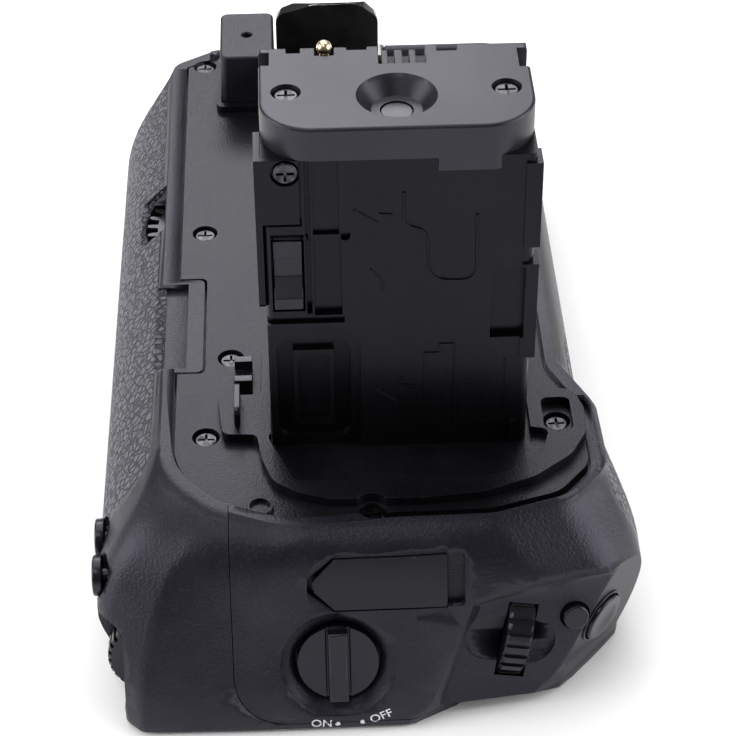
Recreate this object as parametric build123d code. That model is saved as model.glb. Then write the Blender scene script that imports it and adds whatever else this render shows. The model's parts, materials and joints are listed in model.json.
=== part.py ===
from build123d import *
import math
import os

# Camera battery grip, lengths in millimetres.
# The origin is the middle of the tripod socket's mouth, under the lens axis.
# +X runs to the battery tray's end, -X to the end with the shutter button,
# +Y to the photographer, -Y to the subject and +Z up to the camera.

os.makedirs("parts", exist_ok=True)

# Overall size
body_length = 148.1
body_depth = 84.0
body_height = 30.5
release_end = -80.6
rear_wall = 29.2
front_wall = rear_wall - body_depth
tray_end = release_end + body_length

# Fits and cuts
gap = 0.3
seat_gap = 0.15
running_fit = 0.05
overrun = 5.0

# Casing: outlines at five heights, as shares of length, depth and depth again for the radius
foot_bevel = 0.8
rim_bevel = 0.6
rim_rise = 0.8
low_level = 2.2
middle_level = 14.0
high_level = 26.0
low_shares = [
    (0.997, 0.099, 0.05), (0.310, 0.099, 0.10), (0.205, 0.048, 0.10), (0.120, 0.045, 0.10),
    (0.062, 0.111, 0.10), (0.012, 0.242, 0.14), (-0.004, 0.432, 0.20), (-0.005, 0.720, 0.20),
    (-0.003, 0.920, 0.025), (0.015, 0.952, 0.025), (0.868, 0.956, 0.20), (0.997, 0.870, 0.10)]
middle_shares = [
    (1.000, 0.093, 0.06), (0.300, 0.095, 0.12), (0.160, 0.013, 0.12), (0.100, 0.016, 0.10),
    (0.050, 0.062, 0.08), (0.024, 0.200, 0.12), (0.0215, 0.432, 0.20), (0.020, 0.720, 0.20),
    (0.026, 0.900, 0.06), (0.060, 0.994, 0.06), (0.868, 0.994, 0.20), (1.000, 0.914, 0.10)]
high_shares = [
    (0.995, 0.104, 0.05), (0.310, 0.104, 0.08), (0.215, 0.066, 0.08), (0.135, 0.060, 0.12),
    (0.080, 0.115, 0.10), (0.054, 0.250, 0.12), (0.0465, 0.432, 0.20), (0.044, 0.690, 0.14),
    (0.066, 0.840, 0.10), (0.100, 0.940, 0.08), (0.900, 0.940, 0.12), (0.990, 0.860, 0.08)]
rim_shares = [
    (0.976, 0.135, 0.05), (0.315, 0.135, 0.06), (0.247, 0.081, 0.06), (0.153, 0.077, 0.09),
    (0.102, 0.152, 0.10), (0.078, 0.289, 0.12), (0.077, 0.456, 0.20), (0.067, 0.658, 0.22),
    (0.100, 0.790, 0.20), (0.160, 0.885, 0.20), (0.949, 0.885, 0.04), (0.976, 0.800, 0.04)]
rim_width = 2.3
parting_offset = 8.5
parting_radius = 8.0
bottom_skin = 1.9
parting_gap = 0.12

partition = 1.5
bay_front_share = 0.093
cavity_setback = 6.0
end_wall = 5.5
near_cavity_front_share = 0.224
near_cavity_rear = 12.0
cavity_rear_set = 7.0
cavity_link = 2.0
column_radius = 2.6
column_set = 8.0
column_shares = [0.1465, 0.700, 0.912]
near_column_share = 0.075
near_column_y_share = 0.45

# Battery packs and their tray
pack_length = 56.8
pack_width = 38.4
pack_height = 21.0
pack_corner = 2.4
pack_play = 0.2
tray_floor = 0.8
tray_bulkhead = 1.4
tray_end_plate = 4.2
tray_cam_room = 2.2
tray_play = 0.3
tray_middle_share = 0.6
pack_groove_shares = [-0.18, 0.18]
pack_groove_width = 2.0
pack_groove_length = 6.0
pack_groove_depth = 0.8
contact_pad_shares = [0.35, 0.45, 0.55, 0.65]
pad_half = 1.0
pad_rise = 7.0
bay_block_thickness = 1.2
bay_block_height = 9.0
bay_side_play = 0.5
bay_front_wall = 2.1
bay_roof = 1.0
bay_head_room = 0.2
contact_bay = 2.4

# Tray lock
lock_radius = 6.6
lock_sink = 2.8
lock_disc_thickness = 1.2
lock_ridge_width = 2.6
lock_shaft_radius = 2.0
lock_side_share = 0.80
lock_cam_reach = 9.4
lock_cam_width = 3.6
lock_cam_thickness = 1.5
lock_ridge_drop = 0.3
cam_gap = 0.1
cam_hub_share = 1.5

# Top plate and what stands on it
plate_thickness = 2.1
plate_gap = 0.4
screw_head_radius = 1.75
screw_head_height = 0.9
screw_shank_radius = 0.95
screw_shank_length = 5.0
plate_screw_length = 2.5
screw_sink = 0.5
screw_seat_radius = 2.1
cross_width = 0.42
cross_depth = 0.5
cross_arm_share = 0.72
plate_screw_shares = [(0.9405, 0.816), (0.577, 0.807), (0.346, 0.752), (0.217, 0.796)]
rear_step_start_share = 0.324
rear_step_end_share = 0.487
rear_step_corner = 1.0
rear_step_width = 4.4
pocket_ledge = 2.6
pocket_inset = 1.0
rear_pocket_depth = 1.2
rim_groove_set = 0.8
rim_groove_width = 1.6
rim_groove_depth = 1.8
groove_end_share = 0.26
groove_side_share = 0.50
front_screw_shares = [(0.9405, 0.200), (0.520, 0.200)]

# Lug and seat pad on the plate
lug_share = 0.1064
lug_side_share = 0.699
lug_radius = 2.0
lug_wall = 0.5
lug_height = 0.6
seat_pad_share = 0.706
seat_pad_side_share = 0.462
seat_pad_length = 26.0
seat_pad_width = 24.0
seat_pad_sink = 0.6
seat_pad_rise = 0.3

# Tower that fills the camera's battery chamber
tower_length = 21.6
tower_width = 38.4
tower_height = 57.3
tower_x = -41.2
tower_y_share = 0.4476
tower_y = front_wall + tower_y_share * body_depth
tower_wall = 1.7
tower_near_wall = 3.4
tower_set_back = 0.4
tower_edge_radius = 1.2
cap_thickness = 5.2
cap_corner_radius = 7.5
cap_edge = 0.5
cap_screw_share = 0.450
cap_screw_spread_share = 0.401
cap_recess_share = 0.386
cap_recess_radius = 5.7
cap_recess_floor_radius = 3.6
cap_recess_depth = 2.5
cap_pin_radius = 2.3
cap_pin_sink = 0.2
cap_notch_shares = [(0.102, 0.156, 0.076), (0.208, 0.282, 0.114), (0.328, 0.404, 0.052),
                    (0.443, 0.620, 0.233), (0.661, 0.740, 0.090)]
cap_side_notch_shares = [(0.000, 0.040, 0.78, 0.94), (0.960, 1.000, 0.69, 0.92)]
cap_lip_shares = (0.640, 0.985)
cap_lip_height = 2.2
lip_set_back = 0.15
fin_shares = [(0.457, 0.479), (0.505, 0.534), (0.560, 0.583)]
fin_drop = 0.5
contact_ball_share = 0.245
contact_ball_radius = 1.1
contact_rise = 0.2
contact_set = 0.6
contact_drop = 9.0
contact_foot = 0.4
stem_share = 0.6
fin_set_back = 0.6
cap_boss_radius = 2.6
cap_boss_length = 9.0
cap_screw_length = 8.0
tower_split_share = 0.52

# Near face of the tower: from its rear side, from its foot, and depth as a share of the wall
strip_shares = (0.000, 0.143, 0.787, 1.000, 0.35)
lever_bay_shares = (0.026, 0.148, 0.500, 0.760, 1.60)
groove_shares = (0.154, 0.174, 0.490, 1.000, 0.45)
channel_shares = (0.182, 0.279, 0.758, 1.000, 0.20)
panel_shares = (0.182, 0.286, 0.484, 0.747, 0.30)
ledge_shares = (0.000, 0.294, 0.456, 0.478, 0.22)
outer_recess_shares = (0.000, 0.352, 0.000, 0.446, 0.22)
inner_recess_shares = (0.031, 0.315, 0.030, 0.393, 0.52)
frame_shares = (0.094, 0.250, 0.075, 0.349, 0.25)
frame_hole_shares = (0.112, 0.232, 0.098, 0.330, 0.45)
side_recess_shares = (0.844, 0.971, 0.388, 0.633, 0.36)
side_rib_shares = [(0.317, 0.643), (0.700, 0.975)]
side_rib_width = 1.6
side_rib_proud = 0.7
foot_bump_shares = (0.932, 0.956, 0.020, 0.090)
foot_bump_proud = 0.8
recess_corner = 2.4
pin_hole_across = 0.300
pin_hole_up = 0.752
pin_hole_radius = 0.8
strip_screw_across = 0.088
strip_screw_up = 0.958
strip_screw_length = 1.6
strip_line_share = 0.006
strip_flange_thickness = 1.0
strip_flange_reach = 7.5
strip_flange_low_share = 0.510
lever_axis_depth = 1.7
lever_axis_drop = 1.5
lever_pin_radius = 0.6
lever_pin_reach = 0.6
lever_sink = 0.5
lever_dip = 0.9
lever_shoulder = 3.0
lever_thickness = 1.6
lever_tip_proud = 1.5
lever_tip_gap = 0.6
lever_tip_height = 2.4

# Skirt round the tower's foot, from the tower's near rear corner, as shares of its sides
skirt_height = 1.5
skirt_recess = 1.35
skirt_shares = [
    (0.538, -0.219, 0.04), (0.110, -0.195, 0.06), (0.095, -0.060, 0.05), (-0.157, -0.042, 0.10),
    (-0.395, 0.000, 0.20), (-0.519, 0.096, 0.25), (-0.600, 0.221, 0.20), (-0.610, 0.573, 0.30),
    (-0.571, 0.807, 0.30), (-0.433, 1.013, 0.30), (-0.210, 1.169, 0.25), (0.024, 1.240, 0.20),
    (0.281, 1.247, 0.20), (0.490, 1.214, 0.12), (0.529, 1.068, 0.04), (1.070, 1.040, 0.05),
    (1.070, -0.040, 0.05), (0.538, -0.041, 0.03)]
skirt_recess_shares = [
    (0.050, -0.012, 0.02), (-0.395, 0.085, 0.05), (-0.410, 0.297, 0.02), (-0.340, 0.315, 0.02),
    (-0.390, 0.764, 0.05), (-0.396, 0.880, 0.10), (-0.200, 1.050, 0.15), (0.060, 1.095, 0.05),
    (0.100, 1.000, 0.02), (0.100, -0.012, 0.02)]
skirt_notch_share = 0.671
notch_side_share = 0.378
notch_radius = 2.6
pocket_share = 0.224
pocket_side_share = 1.135
pocket_length_share = 0.36
pocket_width_share = 0.115

# Post, boss, pin and clip on the top plate
post_start_share = 0.842
post_end_share = 0.9487
post_front_share = 0.660
post_rear_share = 0.776
post_height = 10.7
post_corner = 1.4
post_edge = 0.5
post_hole_radius = 0.9
post_hole_depth = 3.0
collar_width = 1.6
collar_height = 1.3
collar_rear = 1.0
boss_start_share = 0.9475
boss_end_share = 0.972
boss_width = 19.2
boss_gap = 0.4
boss_height = 12.0
boss_left_drop = 2.9
boss_slope = 7.0
boss_round = 4.0
boss_shoulder = 5.0
boss_corner = 2.8
boss_bow = 25.0
boss_lip = -0.4
boss_lean = 28.0
boss_flare = 1.2
flare_share = 0.6
align_pin_share = 0.420
align_pin_radius = 1.5
align_pin_height = 2.6
prong_shares = [0.290, 0.322]
prong_side_share = 0.711
prong_width = 2.8
prong_thickness = 0.7
prong_foot = 0.8
prong_height = 2.6
blade_start_share = 0.222
blade_end_share = 0.270
blade_side_share = 0.733
blade_thickness = 0.9
blade_height = 3.0

# Attachment drive
attach_radius = 3.175
attach_point = 5.7
attach_tip = 0.5
thread_start = 0.1
thread_pitch = 1.27
thread_depth = 0.6
attach_journal = 0.25
thread_relief = 1.5
thread_start_share = 0.5
thread_flank_share = 0.30
thread_crest_share = 0.25
gear_module = 0.8
screw_gear_teeth = 10
wheel_teeth = 32
gear_thickness = 3.6
gear_bottom = 22.1
gear_addendum = 0.6
gear_dedendum = 1.2
tooth_share = 0.40
gear_lean_share = 0.35
wheel_offset_x = 13.5
pivot_radius = 1.5
pivot_depth = 1.6
drive_gap = 0.3
bracket_thickness = 2.0
bracket_margin = 2.6
bracket_leg = 4.0
bracket_foot = 2.0
scallop_width = 13.0
scallop_back = 0.4
scallop_corner = 0.8

# Tripod socket and base plate
socket_radius = 3.175
socket_depth = 6.5
socket_wall = 1.3
socket_flange = 0.15
socket_roof = 0.8
base_plate_length = 44.0
base_plate_width = 24.0
base_plate_thickness = 1.2
base_plate_shift = -6.0
base_corner = 3.0
pad_shares = [0.19, 0.83]
pad_y = -18.0
pad_length = 30.0
pad_width = 36.0
pad_thickness = 0.8

# Face at the shutter end
face_share = 0.01553
face_x = release_end + face_share * body_length
face_z = 11.0
face_tilt = 16.5
face_tilt_cos = math.cos(math.radians(face_tilt))
face_tilt_sin = math.sin(math.radians(face_tilt))
face = Plane(origin=(face_x, 0, face_z), x_dir=(0, -1, 0),
             z_dir=(-face_tilt_cos, 0, face_tilt_sin))

# Power switch
knob_across = 6.9
knob_up = 0.1
knob_radius = 6.05
knob_thickness = 2.2
knob_ridge_width = 2.9
knob_ridge_height = 1.9
knob_groove = 0.35
knob_sink = 0.5
dish_radius = 8.6
dish_depth = 1.5
knob_shaft_radius = 2.2
knob_shaft_length = 7.0
switch_block_width = 10.0
switch_block_depth = 3.0
switch_gap = 3.2

# Port cover
cover_tip_across = 3.3
cover_tip_clearance_share = 2.8
cover_left = 6.6
cover_right = 23.1
cover_bottom = 9.1
cover_top = 17.3
cover_depth = 1.5
cover_line = 0.25
finger_width = 2.7
finger_depth = 1.6
finger_corner = 0.7
cover_corner = 0.35
hinge_radius = 0.35
hinge_reach = 1.2
cover_barrel = 1.2

# Facet that carries the dial and the buttons
facet_turn = 7.0
scoop_corner_across = 26.3
scoop_corner_up = 9.8
scoop_far_across = 60.0
scoop_far_up = 19.9
scoop_low_up = -20.0
scoop_low_across = 4.0
scoop_knee_across = 20.6
scoop_knee_up = -7.2
scoop_levels = [(-6.0, 8.0), (0, 0.3), (0.9, -0.35), (2.4, -2.0), (10.5, -10.0)]
facet_reach = 24.0
facet_toe_up = -9.5
facet_toe_turn = 65.0
dial_across = 33.5
dial_up = 1.8
dial_radius = 9.0
dial_width = 4.0
dial_proud = 2.0
dial_lean = -13.0
channel_radius = 11.0
channel_depth = 0.7
channel_length = 14.0
channel_shift = -1.0
channel_width = 7.4
dial_teeth = 30
dial_tooth_depth = 0.5
groove_share = 0.45
dial_surface = 2.6
axle_radius = 1.0
axle_overhang = 1.6

# Function button and shutter button
fn_across = 9.0
fn_up = 2.9
fn_radius = 1.95
fn_proud = 1.1
fn_travel = 0.6
fn_ring = 0.35
fn_well = 3.0
shutter_x = -70.1
shutter_y = -46.7
shutter_z = 11.3
shutter_turn = 48.0
shutter_dip = 8.5
shutter_radius = 3.9
shutter_bezel = 0.6
shutter_pad = 13.0
shutter_proud = 0.9
shutter_travel = 0.9
shutter_well = 3.0
bezel_depth = 0.6
button_stem_radius = 1.1
button_flange = 0.7
button_edge = 0.35
dish_sphere = 14.0
shutter_dish = 0.35
bezel_proud = 0.3
spring_share = 0.72
spring_height = 1.8
shutter_spring_height = 0.8
shutter_spring_share = 0.38
fn_spring_height = 0.9
spring_wire = 0.13
spring_turns = 3

# Rear controls
rear_button_radius = 3.1
rear_button_proud = 0.7
rear_button_sink = 0.6
rear_button_travel = 0.6
rear_button_z = 18.5
rear_button_x = [-57.4, -65.4]
rear_well = 5.5
rear_dial_radius = 7.8
rear_dial_width = 3.6
rear_dial_z = 8.4
rear_dial_face = -73.4
rear_dial_proud = -1.7
rear_dial_teeth = 32
rear_dial_notch = 2.6
rear_dial_notch_half = 6.9
rear_dial_notch_radius = 2.0

# Rubber
rubber_thickness = 1.0
rubber_start_share = 0.166
rubber_end_share = 0.925
rubber_low = 4.0
rubber_high = 29.6
rubber_corner = 5.0
front_rubber_start_share = 0.135
front_rubber_end_share = 0.400
front_rubber_depth_share = 0.16
front_rubber_top = 28.5

# Cable and boards
cable_x = -41.0
cable_y = -1.7
cable_width = 2.6
cable_thickness = 0.4
board_thickness = 1.2
board_stand = 0.8
board_front = -20.0
board_rear = 10.0
board_start_share = 0.0994
board_end_share = 0.376
main_board_z = 10.0


def block(x0, x1, y0, y1, z0, z1):
    centre = Pos((x0 + x1) / 2, (y0 + y1) / 2, (z0 + z1) / 2)
    return centre * Box(x1 - x0, y1 - y0, z1 - z0)


def rod(radius, x, y, z0, z1):
    return Pos(x, y, (z0 + z1) / 2) * Cylinder(radius, z1 - z0)


def rod_on(plane, radius, across, up, low, high):
    return plane * rod(radius, across, up, low, high)


def slab_on(plane, across0, across1, up0, up1, low, high):
    return plane * block(across0, across1, up0, up1, low, high)


def whole(shape):
    solids = shape.solids()
    return max(solids, key=lambda solid: solid.volume)


def all_solids(shapes):
    solids = []
    for shape in shapes:
        solids += list(shape.solids())
    return Compound(children=[Solid(solid.wrapped) for solid in solids])


def save(name, shape):
    shape.label = name
    export_step(shape, os.path.join("parts", name + ".step"))


def along(share):
    return release_end + share * body_length


def deep(share):
    return front_wall + share * body_depth


def in_bay(share):
    return bay_start + share * (tray_end - bay_start)


def outline(shares, inset=0):
    middle_x = (release_end + tray_end) / 2
    middle_y = (front_wall + rear_wall) / 2
    corners = []
    radii = []
    for across, depth, radius in shares:
        x = along(across)
        y = deep(depth)
        corners.append((x + math.copysign(inset, middle_x - x), y + math.copysign(inset, middle_y - y)))
        radii.append(radius * body_depth)
    return make_face(FilletPolyline(*corners, radius=radii, close=True))


def section(shares, height, inset=0):
    return Pos(0, 0, height) * outline(shares, inset)


rim_top = body_height + rim_rise
plate_bottom = body_height - plate_thickness


def make_form():
    foot = loft([section(low_shares, 0, foot_bevel), section(low_shares, foot_bevel)], ruled=True)
    middle = loft([section(low_shares, foot_bevel), section(low_shares, low_level),
                   section(middle_shares, middle_level), section(high_shares, high_level),
                   section(rim_shares, rim_top - rim_bevel)])
    rim = loft([section(rim_shares, rim_top - rim_bevel), section(rim_shares, rim_top, rim_bevel)],
               ruled=True)
    return whole(foot + middle + rim)


form = make_form()

# Places worked out from the sizes above
bay_front = front_wall + bay_front_share * body_depth + bay_front_wall
bay_rear = bay_front + pack_width + 2 * bay_side_play
bay_bottom = bottom_skin
bay_top = bay_bottom + tray_play + tray_floor + pack_height + 2 * bay_head_room
tray_bottom = bay_bottom + tray_play
tray_top = tray_bottom + tray_floor
pack_bottom = tray_top
tray_front = bay_front + tray_play
tray_rear = bay_rear - tray_play
plate_outer = tray_end
plate_inner = plate_outer - tray_end_plate
pack_far_1 = plate_inner - tray_cam_room
pack_far_2 = pack_far_1 - pack_length - 2 * pack_play - tray_bulkhead
tray_start = pack_far_2 - pack_length - pack_play - tray_bulkhead
bay_start = tray_start - contact_bay
roof_top = bay_top + bay_roof
cavity_front = bay_rear + partition
cavity_rear = rear_wall - cavity_rear_set
lens_x = 0
lens_y = 0
post_top = rim_top + overrun
plan_rear = deep(rim_shares[9][1])
tower_near = tower_x - tower_length / 2
tower_far = tower_x + tower_length / 2
tower_front = tower_y - tower_width / 2
tower_rear = tower_y + tower_width / 2
tower_top = body_height + tower_height
shell_top = tower_top - cap_thickness
tower_skin = tower_near + tower_set_back
screw_gear_radius = gear_module * screw_gear_teeth / 2
wheel_radius = gear_module * wheel_teeth / 2
wheel_outer = wheel_radius + gear_addendum
drive_distance = screw_gear_radius + wheel_radius
wheel_x = wheel_offset_x
wheel_y = math.sqrt(drive_distance ** 2 - wheel_offset_x ** 2)
gear_top = gear_bottom + gear_thickness
bracket_top = gear_bottom - drive_gap
bracket_bottom = bracket_top - bracket_thickness
bay_middle = (bay_front + bay_rear) / 2
lock_y = bay_front + lock_side_share * (bay_rear - bay_front)
lock_z = (bay_bottom + bay_top) / 2 + tray_floor
lock_plane = Plane(origin=(plate_outer, lock_y, lock_z), x_dir=(0, 1, 0), z_dir=(1, 0, 0))
near_cavity_end = bay_start - partition
near_cavity_start = face_x + cavity_setback
cavity_end = tray_end - end_wall
column_y = cavity_front + column_set
near_column_y = deep(near_column_y_share)
near_cavity_front = deep(near_cavity_front_share)
cap_recess_x = tower_near + cap_recess_share * tower_length

facet_angle = math.radians(facet_turn)
facet_swing = math.atan(math.tan(facet_angle) / face_tilt_cos)
facet_origin = face.from_local_coords((dial_across, dial_up, -dial_surface))
facet = Plane(origin=facet_origin,
              x_dir=(math.sin(facet_swing), -math.cos(facet_swing), 0),
              z_dir=(-face_tilt_cos * math.cos(facet_angle), -math.sin(facet_angle),
                     face_tilt_sin * math.cos(facet_angle)))
shutter_yaw = math.radians(shutter_turn)
shutter_pitch = math.radians(shutter_dip)
shutter_plane = Plane(
    origin=(shutter_x, shutter_y, shutter_z),
    x_dir=(math.sin(shutter_yaw), -math.cos(shutter_yaw), 0),
    z_dir=(-math.cos(shutter_yaw) * math.cos(shutter_pitch),
           -math.sin(shutter_yaw) * math.cos(shutter_pitch), -math.sin(shutter_pitch)))
rear_face = Plane(origin=(0, rear_wall - rear_button_sink, 0), x_dir=(-1, 0, 0), z_dir=(0, 1, 0))


def tower_place(across, up):
    return tower_rear - across * tower_width, body_height + up * (shell_top - body_height)


def plan(inset, height):
    return Pos(0, 0, height) * offset(outline(rim_shares), -inset)


def tower_cut(shares, reach=0):
    across0, across1, up0, up1, depth = shares
    y1, z0 = tower_place(across0, up0)
    y0, z1 = tower_place(across1, up1)
    floor = tower_skin + depth * tower_near_wall
    return block(tower_skin - overrun + reach, floor, y0, y1, z0, z1)


def screw_solid(length=screw_shank_length):
    head = rod(screw_head_radius, 0, 0, -screw_head_height, 0)
    head = fillet(head.edges().group_by(Axis.Z)[-1], screw_head_height / 3)
    arm = screw_head_radius * cross_arm_share
    head -= block(-arm, arm, -cross_width / 2, cross_width / 2, -cross_depth, overrun)
    head -= block(-cross_width / 2, cross_width / 2, -arm, arm, -cross_depth, overrun)
    return whole(head + rod(screw_shank_radius, 0, 0, -screw_head_height - length, -screw_head_height))


def screw_hole(length=screw_shank_length):
    seat = rod(screw_seat_radius, 0, 0, -screw_head_height, overrun)
    shank = rod(screw_shank_radius + running_fit, 0, 0, -screw_head_height - length - gap, 0)
    return seat + shank


def plate_screw_places():
    return [Pos(along(across), deep(depth), body_height - screw_sink)
            for across, depth in plate_screw_shares + front_screw_shares]


def base_screw_places():
    turn = Rot(180, 0, 0)
    places = [(in_bay(share), column_y) for share in column_shares]
    places.append((along(near_column_share), near_column_y))
    return [Pos(x, y, screw_sink) * turn for x, y in places]


def skirt_screw_places():
    notch = Pos(tower_near - skirt_notch_share * tower_length, tower_rear - notch_side_share * tower_width,
                body_height - screw_sink)
    pocket = Pos(tower_near + pocket_share * tower_length, tower_rear - pocket_side_share * tower_width,
                 body_height - screw_sink)
    return [notch, pocket]


def cap_screw_places():
    x = tower_near + cap_screw_share * tower_length
    return [Pos(x, tower_y + side * cap_screw_spread_share * tower_width, tower_top - screw_sink)
            for side in (-1, 1)]


def strip_screw_place():
    y, z = tower_place(strip_screw_across, strip_screw_up)
    return Pos(tower_skin, y, z) * Rot(0, -90, 0)


def front_region():
    reach = 2 * body_length
    region = block(-reach, reach, -reach, parting_offset, bottom_skin, reach)
    corner = region.edges().filter_by(Axis.X).sort_by(Axis.Z)[:2].sort_by(Axis.Y)[-1]
    return fillet(corner, parting_radius)


def rear_step(grow):
    ledge = block(along(rear_step_start_share) - grow, along(rear_step_end_share) + grow,
                  plan_rear - rim_width - rear_step_width - grow, plan_rear - rim_width + overrun,
                  plate_bottom - overrun, post_top)
    return fillet(ledge.edges().filter_by(Axis.Z).group_by(Axis.Y)[0], rear_step_corner)


def plate_recess():
    recess = extrude(plan(rim_width, plate_bottom), post_top - plate_bottom)
    level = block(along(rear_step_start_share), tray_end + overrun,
                  plan_rear - rim_width - rear_step_width, rear_wall, body_height, post_top)
    pocket = block(along(rear_step_start_share) + pocket_inset, along(rear_step_end_share) - pocket_inset,
                   plan_rear - rim_width - rear_step_width + pocket_ledge, rear_wall,
                   body_height - rear_pocket_depth, post_top)
    return recess - rear_step(0) + level + pocket + rim_groove()


def rim_groove():
    ring = extrude(plan(rim_groove_set, rim_top - rim_groove_depth), post_top - rim_top)
    ring -= extrude(plan(rim_groove_set + rim_groove_width, rim_top - rim_groove_depth), post_top - rim_top)
    return ring & block(release_end, along(groove_end_share), front_wall, deep(groove_side_share),
                        plate_bottom, post_top)


def hollows():
    bay = block(bay_start, tray_end + overrun, bay_front, bay_rear, bay_bottom, bay_top)
    rear = block(near_cavity_end - cavity_link, cavity_end, cavity_front, cavity_rear, bottom_skin, roof_top)
    near = block(near_cavity_start, near_cavity_end, near_cavity_front, near_cavity_rear,
                 bottom_skin, bay_top)
    return bay + rear + near


def columns():
    places = [(in_bay(share), column_y) for share in column_shares]
    places.append((along(near_column_share), near_column_y))
    posts = [rod(column_radius, x, y, bottom_skin, roof_top + gap) for x, y in places]
    return posts


def knob_cut():
    well = rod_on(face, knob_radius + gap, knob_across, knob_up, -knob_thickness - knob_sink - gap, overrun)
    dish = Pos(0, 0, -dish_depth / 2) * Cone(knob_radius + gap, dish_radius, dish_depth)
    top = rod(dish_radius, 0, 0, 0, overrun)
    shaft = rod_on(face, knob_shaft_radius + running_fit, knob_across, knob_up,
                   -knob_shaft_length - knob_thickness - overrun, 0)
    return well + shaft + face * Pos(knob_across, knob_up, 0) * (dish + top)


def cover_outline(grow):
    middle = (cover_top + cover_bottom) / 2
    half = cover_barrel / 2
    tip = cover_tip_across - grow * cover_tip_clearance_share
    half += grow * cover_tip_clearance_share
    points = [(tip, middle + half), (cover_left - grow, cover_top + grow),
              (cover_right + grow, cover_top + grow), (cover_right + grow, cover_bottom - grow),
              (cover_left - grow, cover_bottom - grow), (tip, middle - half)]
    return make_face(FilletPolyline(*points, radius=cover_corner, close=True))


def cover_prism(grow, deepest):
    return extrude(face * Pos(0, 0, deepest) * cover_outline(grow), overrun - deepest)


def cover_cut():
    finger = block(cover_right - cover_line, cover_right + finger_width, cover_bottom, cover_top,
                   -finger_depth, overrun)
    finger = face * fillet(finger.edges().filter_by(Axis.Z), finger_corner)
    return cover_prism(cover_line, -cover_depth - cover_line) + finger


def inset_corners(points, inset):
    corners = []
    for index, here in enumerate(points):
        before = points[index - 1]
        after = points[(index + 1) % len(points)]
        first = math.hypot(here[0] - before[0], here[1] - before[1])
        second = math.hypot(after[0] - here[0], after[1] - here[1])
        first_x, first_y = (here[1] - before[1]) / first, (before[0] - here[0]) / first
        second_x, second_y = (after[1] - here[1]) / second, (here[0] - after[0]) / second
        reach = inset / (1 + first_x * second_x + first_y * second_y)
        corners.append((here[0] + (first_x + second_x) * reach, here[1] + (first_y + second_y) * reach))
    return corners


def facet_cut():
    points = [(scoop_corner_across, scoop_corner_up), (scoop_far_across, scoop_far_up),
              (scoop_far_across, scoop_low_up), (scoop_low_across, scoop_low_up),
              (scoop_knee_across, scoop_knee_up)]
    levels = [face * Pos(0, 0, level) * make_face(Polyline(*inset_corners(points, inset), close=True))
              for inset, level in scoop_levels]
    scoop = loft(levels, ruled=True)
    beyond = Pos(0, 0, facet_reach) * Box(4 * facet_reach, 4 * facet_reach, 2 * facet_reach)
    toe = facet * Pos(0, facet_toe_up, 0) * Rot(facet_toe_turn, 0, 0)
    corner = shutter_plane * Pos(0, 0, facet_reach / 2) * Box(2 * shutter_pad, 2 * shutter_pad, facet_reach)
    return (scoop & (facet * beyond + toe * beyond)) + corner


dial_plane = facet * Rot(0, 0, dial_lean)
dial_centre = dial_plane * Pos(0, 0, dial_proud - dial_radius)


def dial_cut():
    turn = Rot(0, 90, 0)
    well = dial_centre * turn * Cylinder(dial_radius + gap, dial_width + 2 * gap)
    axle = dial_centre * turn * Cylinder(axle_radius + running_fit, dial_width + 2 * axle_overhang)
    channel = Pos(channel_shift, 0, channel_radius - channel_depth) * turn * Cylinder(
        channel_radius, channel_length)
    mouth = Pos(channel_shift, 0, -channel_depth) * extrude(SlotOverall(channel_length, channel_width),
                                                            channel_radius)
    return well + axle + dial_plane * (channel & mouth)


def fn_cut():
    return rod_on(facet, fn_radius + fn_ring, fn_across, fn_up, -fn_well, overrun)


def shutter_cut():
    ring = rod_on(shutter_plane, shutter_radius + shutter_bezel, 0, 0, -bezel_depth, overrun)
    well = rod_on(shutter_plane, shutter_radius + gap, 0, 0, -shutter_well, overrun)
    return ring + well


def rear_button_places():
    return [rear_face * Pos(-x, rear_button_z, 0) for x in rear_button_x]


def rear_button_cut():
    cuts = [place * rod(rear_button_radius + gap, 0, 0, -rear_well, overrun)
            for place in rear_button_places()]
    return cuts[0] + cuts[1]


rear_dial_y = rear_wall + rear_dial_proud - rear_dial_radius
rear_dial_axis = Pos(rear_dial_face + rear_dial_width / 2, rear_dial_y, rear_dial_z) * Rot(0, 90, 0)


def rear_dial_cut():
    well = rear_dial_axis * Cylinder(rear_dial_radius + gap, rear_dial_width + 2 * gap)
    axle = rear_dial_axis * Cylinder(axle_radius + running_fit, rear_dial_width + 2 * axle_overhang)
    notch = block(release_end - overrun, rear_dial_face + rear_dial_width + gap,
                  rear_wall + rear_dial_proud - rear_dial_notch, rear_wall + overrun,
                  rear_dial_z - rear_dial_notch_half, rear_dial_z + rear_dial_notch_half)
    notch = fillet(notch.edges().filter_by(Axis.X), rear_dial_notch_radius)
    return well + axle + notch


def drive_cut():
    wheel = rod(wheel_outer + gap, wheel_x, wheel_y, gear_bottom - drive_gap, gear_top + drive_gap)
    pinion = rod(screw_gear_radius + gear_addendum + gap, lens_x, lens_y,
                 gear_bottom - drive_gap, gear_top + drive_gap)
    pivot = rod(pivot_radius + running_fit, wheel_x, wheel_y, gear_top, roof_top + pivot_depth + gap)
    shaft = rod(attach_radius + attach_journal + running_fit, lens_x, lens_y, gear_top, post_top)
    socket = rod(socket_radius + socket_wall + socket_flange, lens_x, lens_y, -overrun,
                 socket_depth + gap)
    scallop = block(wheel_x - scallop_width / 2, wheel_x + scallop_width / 2,
                    plan_rear + scallop_back, rear_wall + overrun, gear_top, post_top)
    scallop = fillet(scallop.edges().filter_by(Axis.Y), scallop_corner)
    return wheel + pinion + pivot + shaft + socket + scallop


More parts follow.
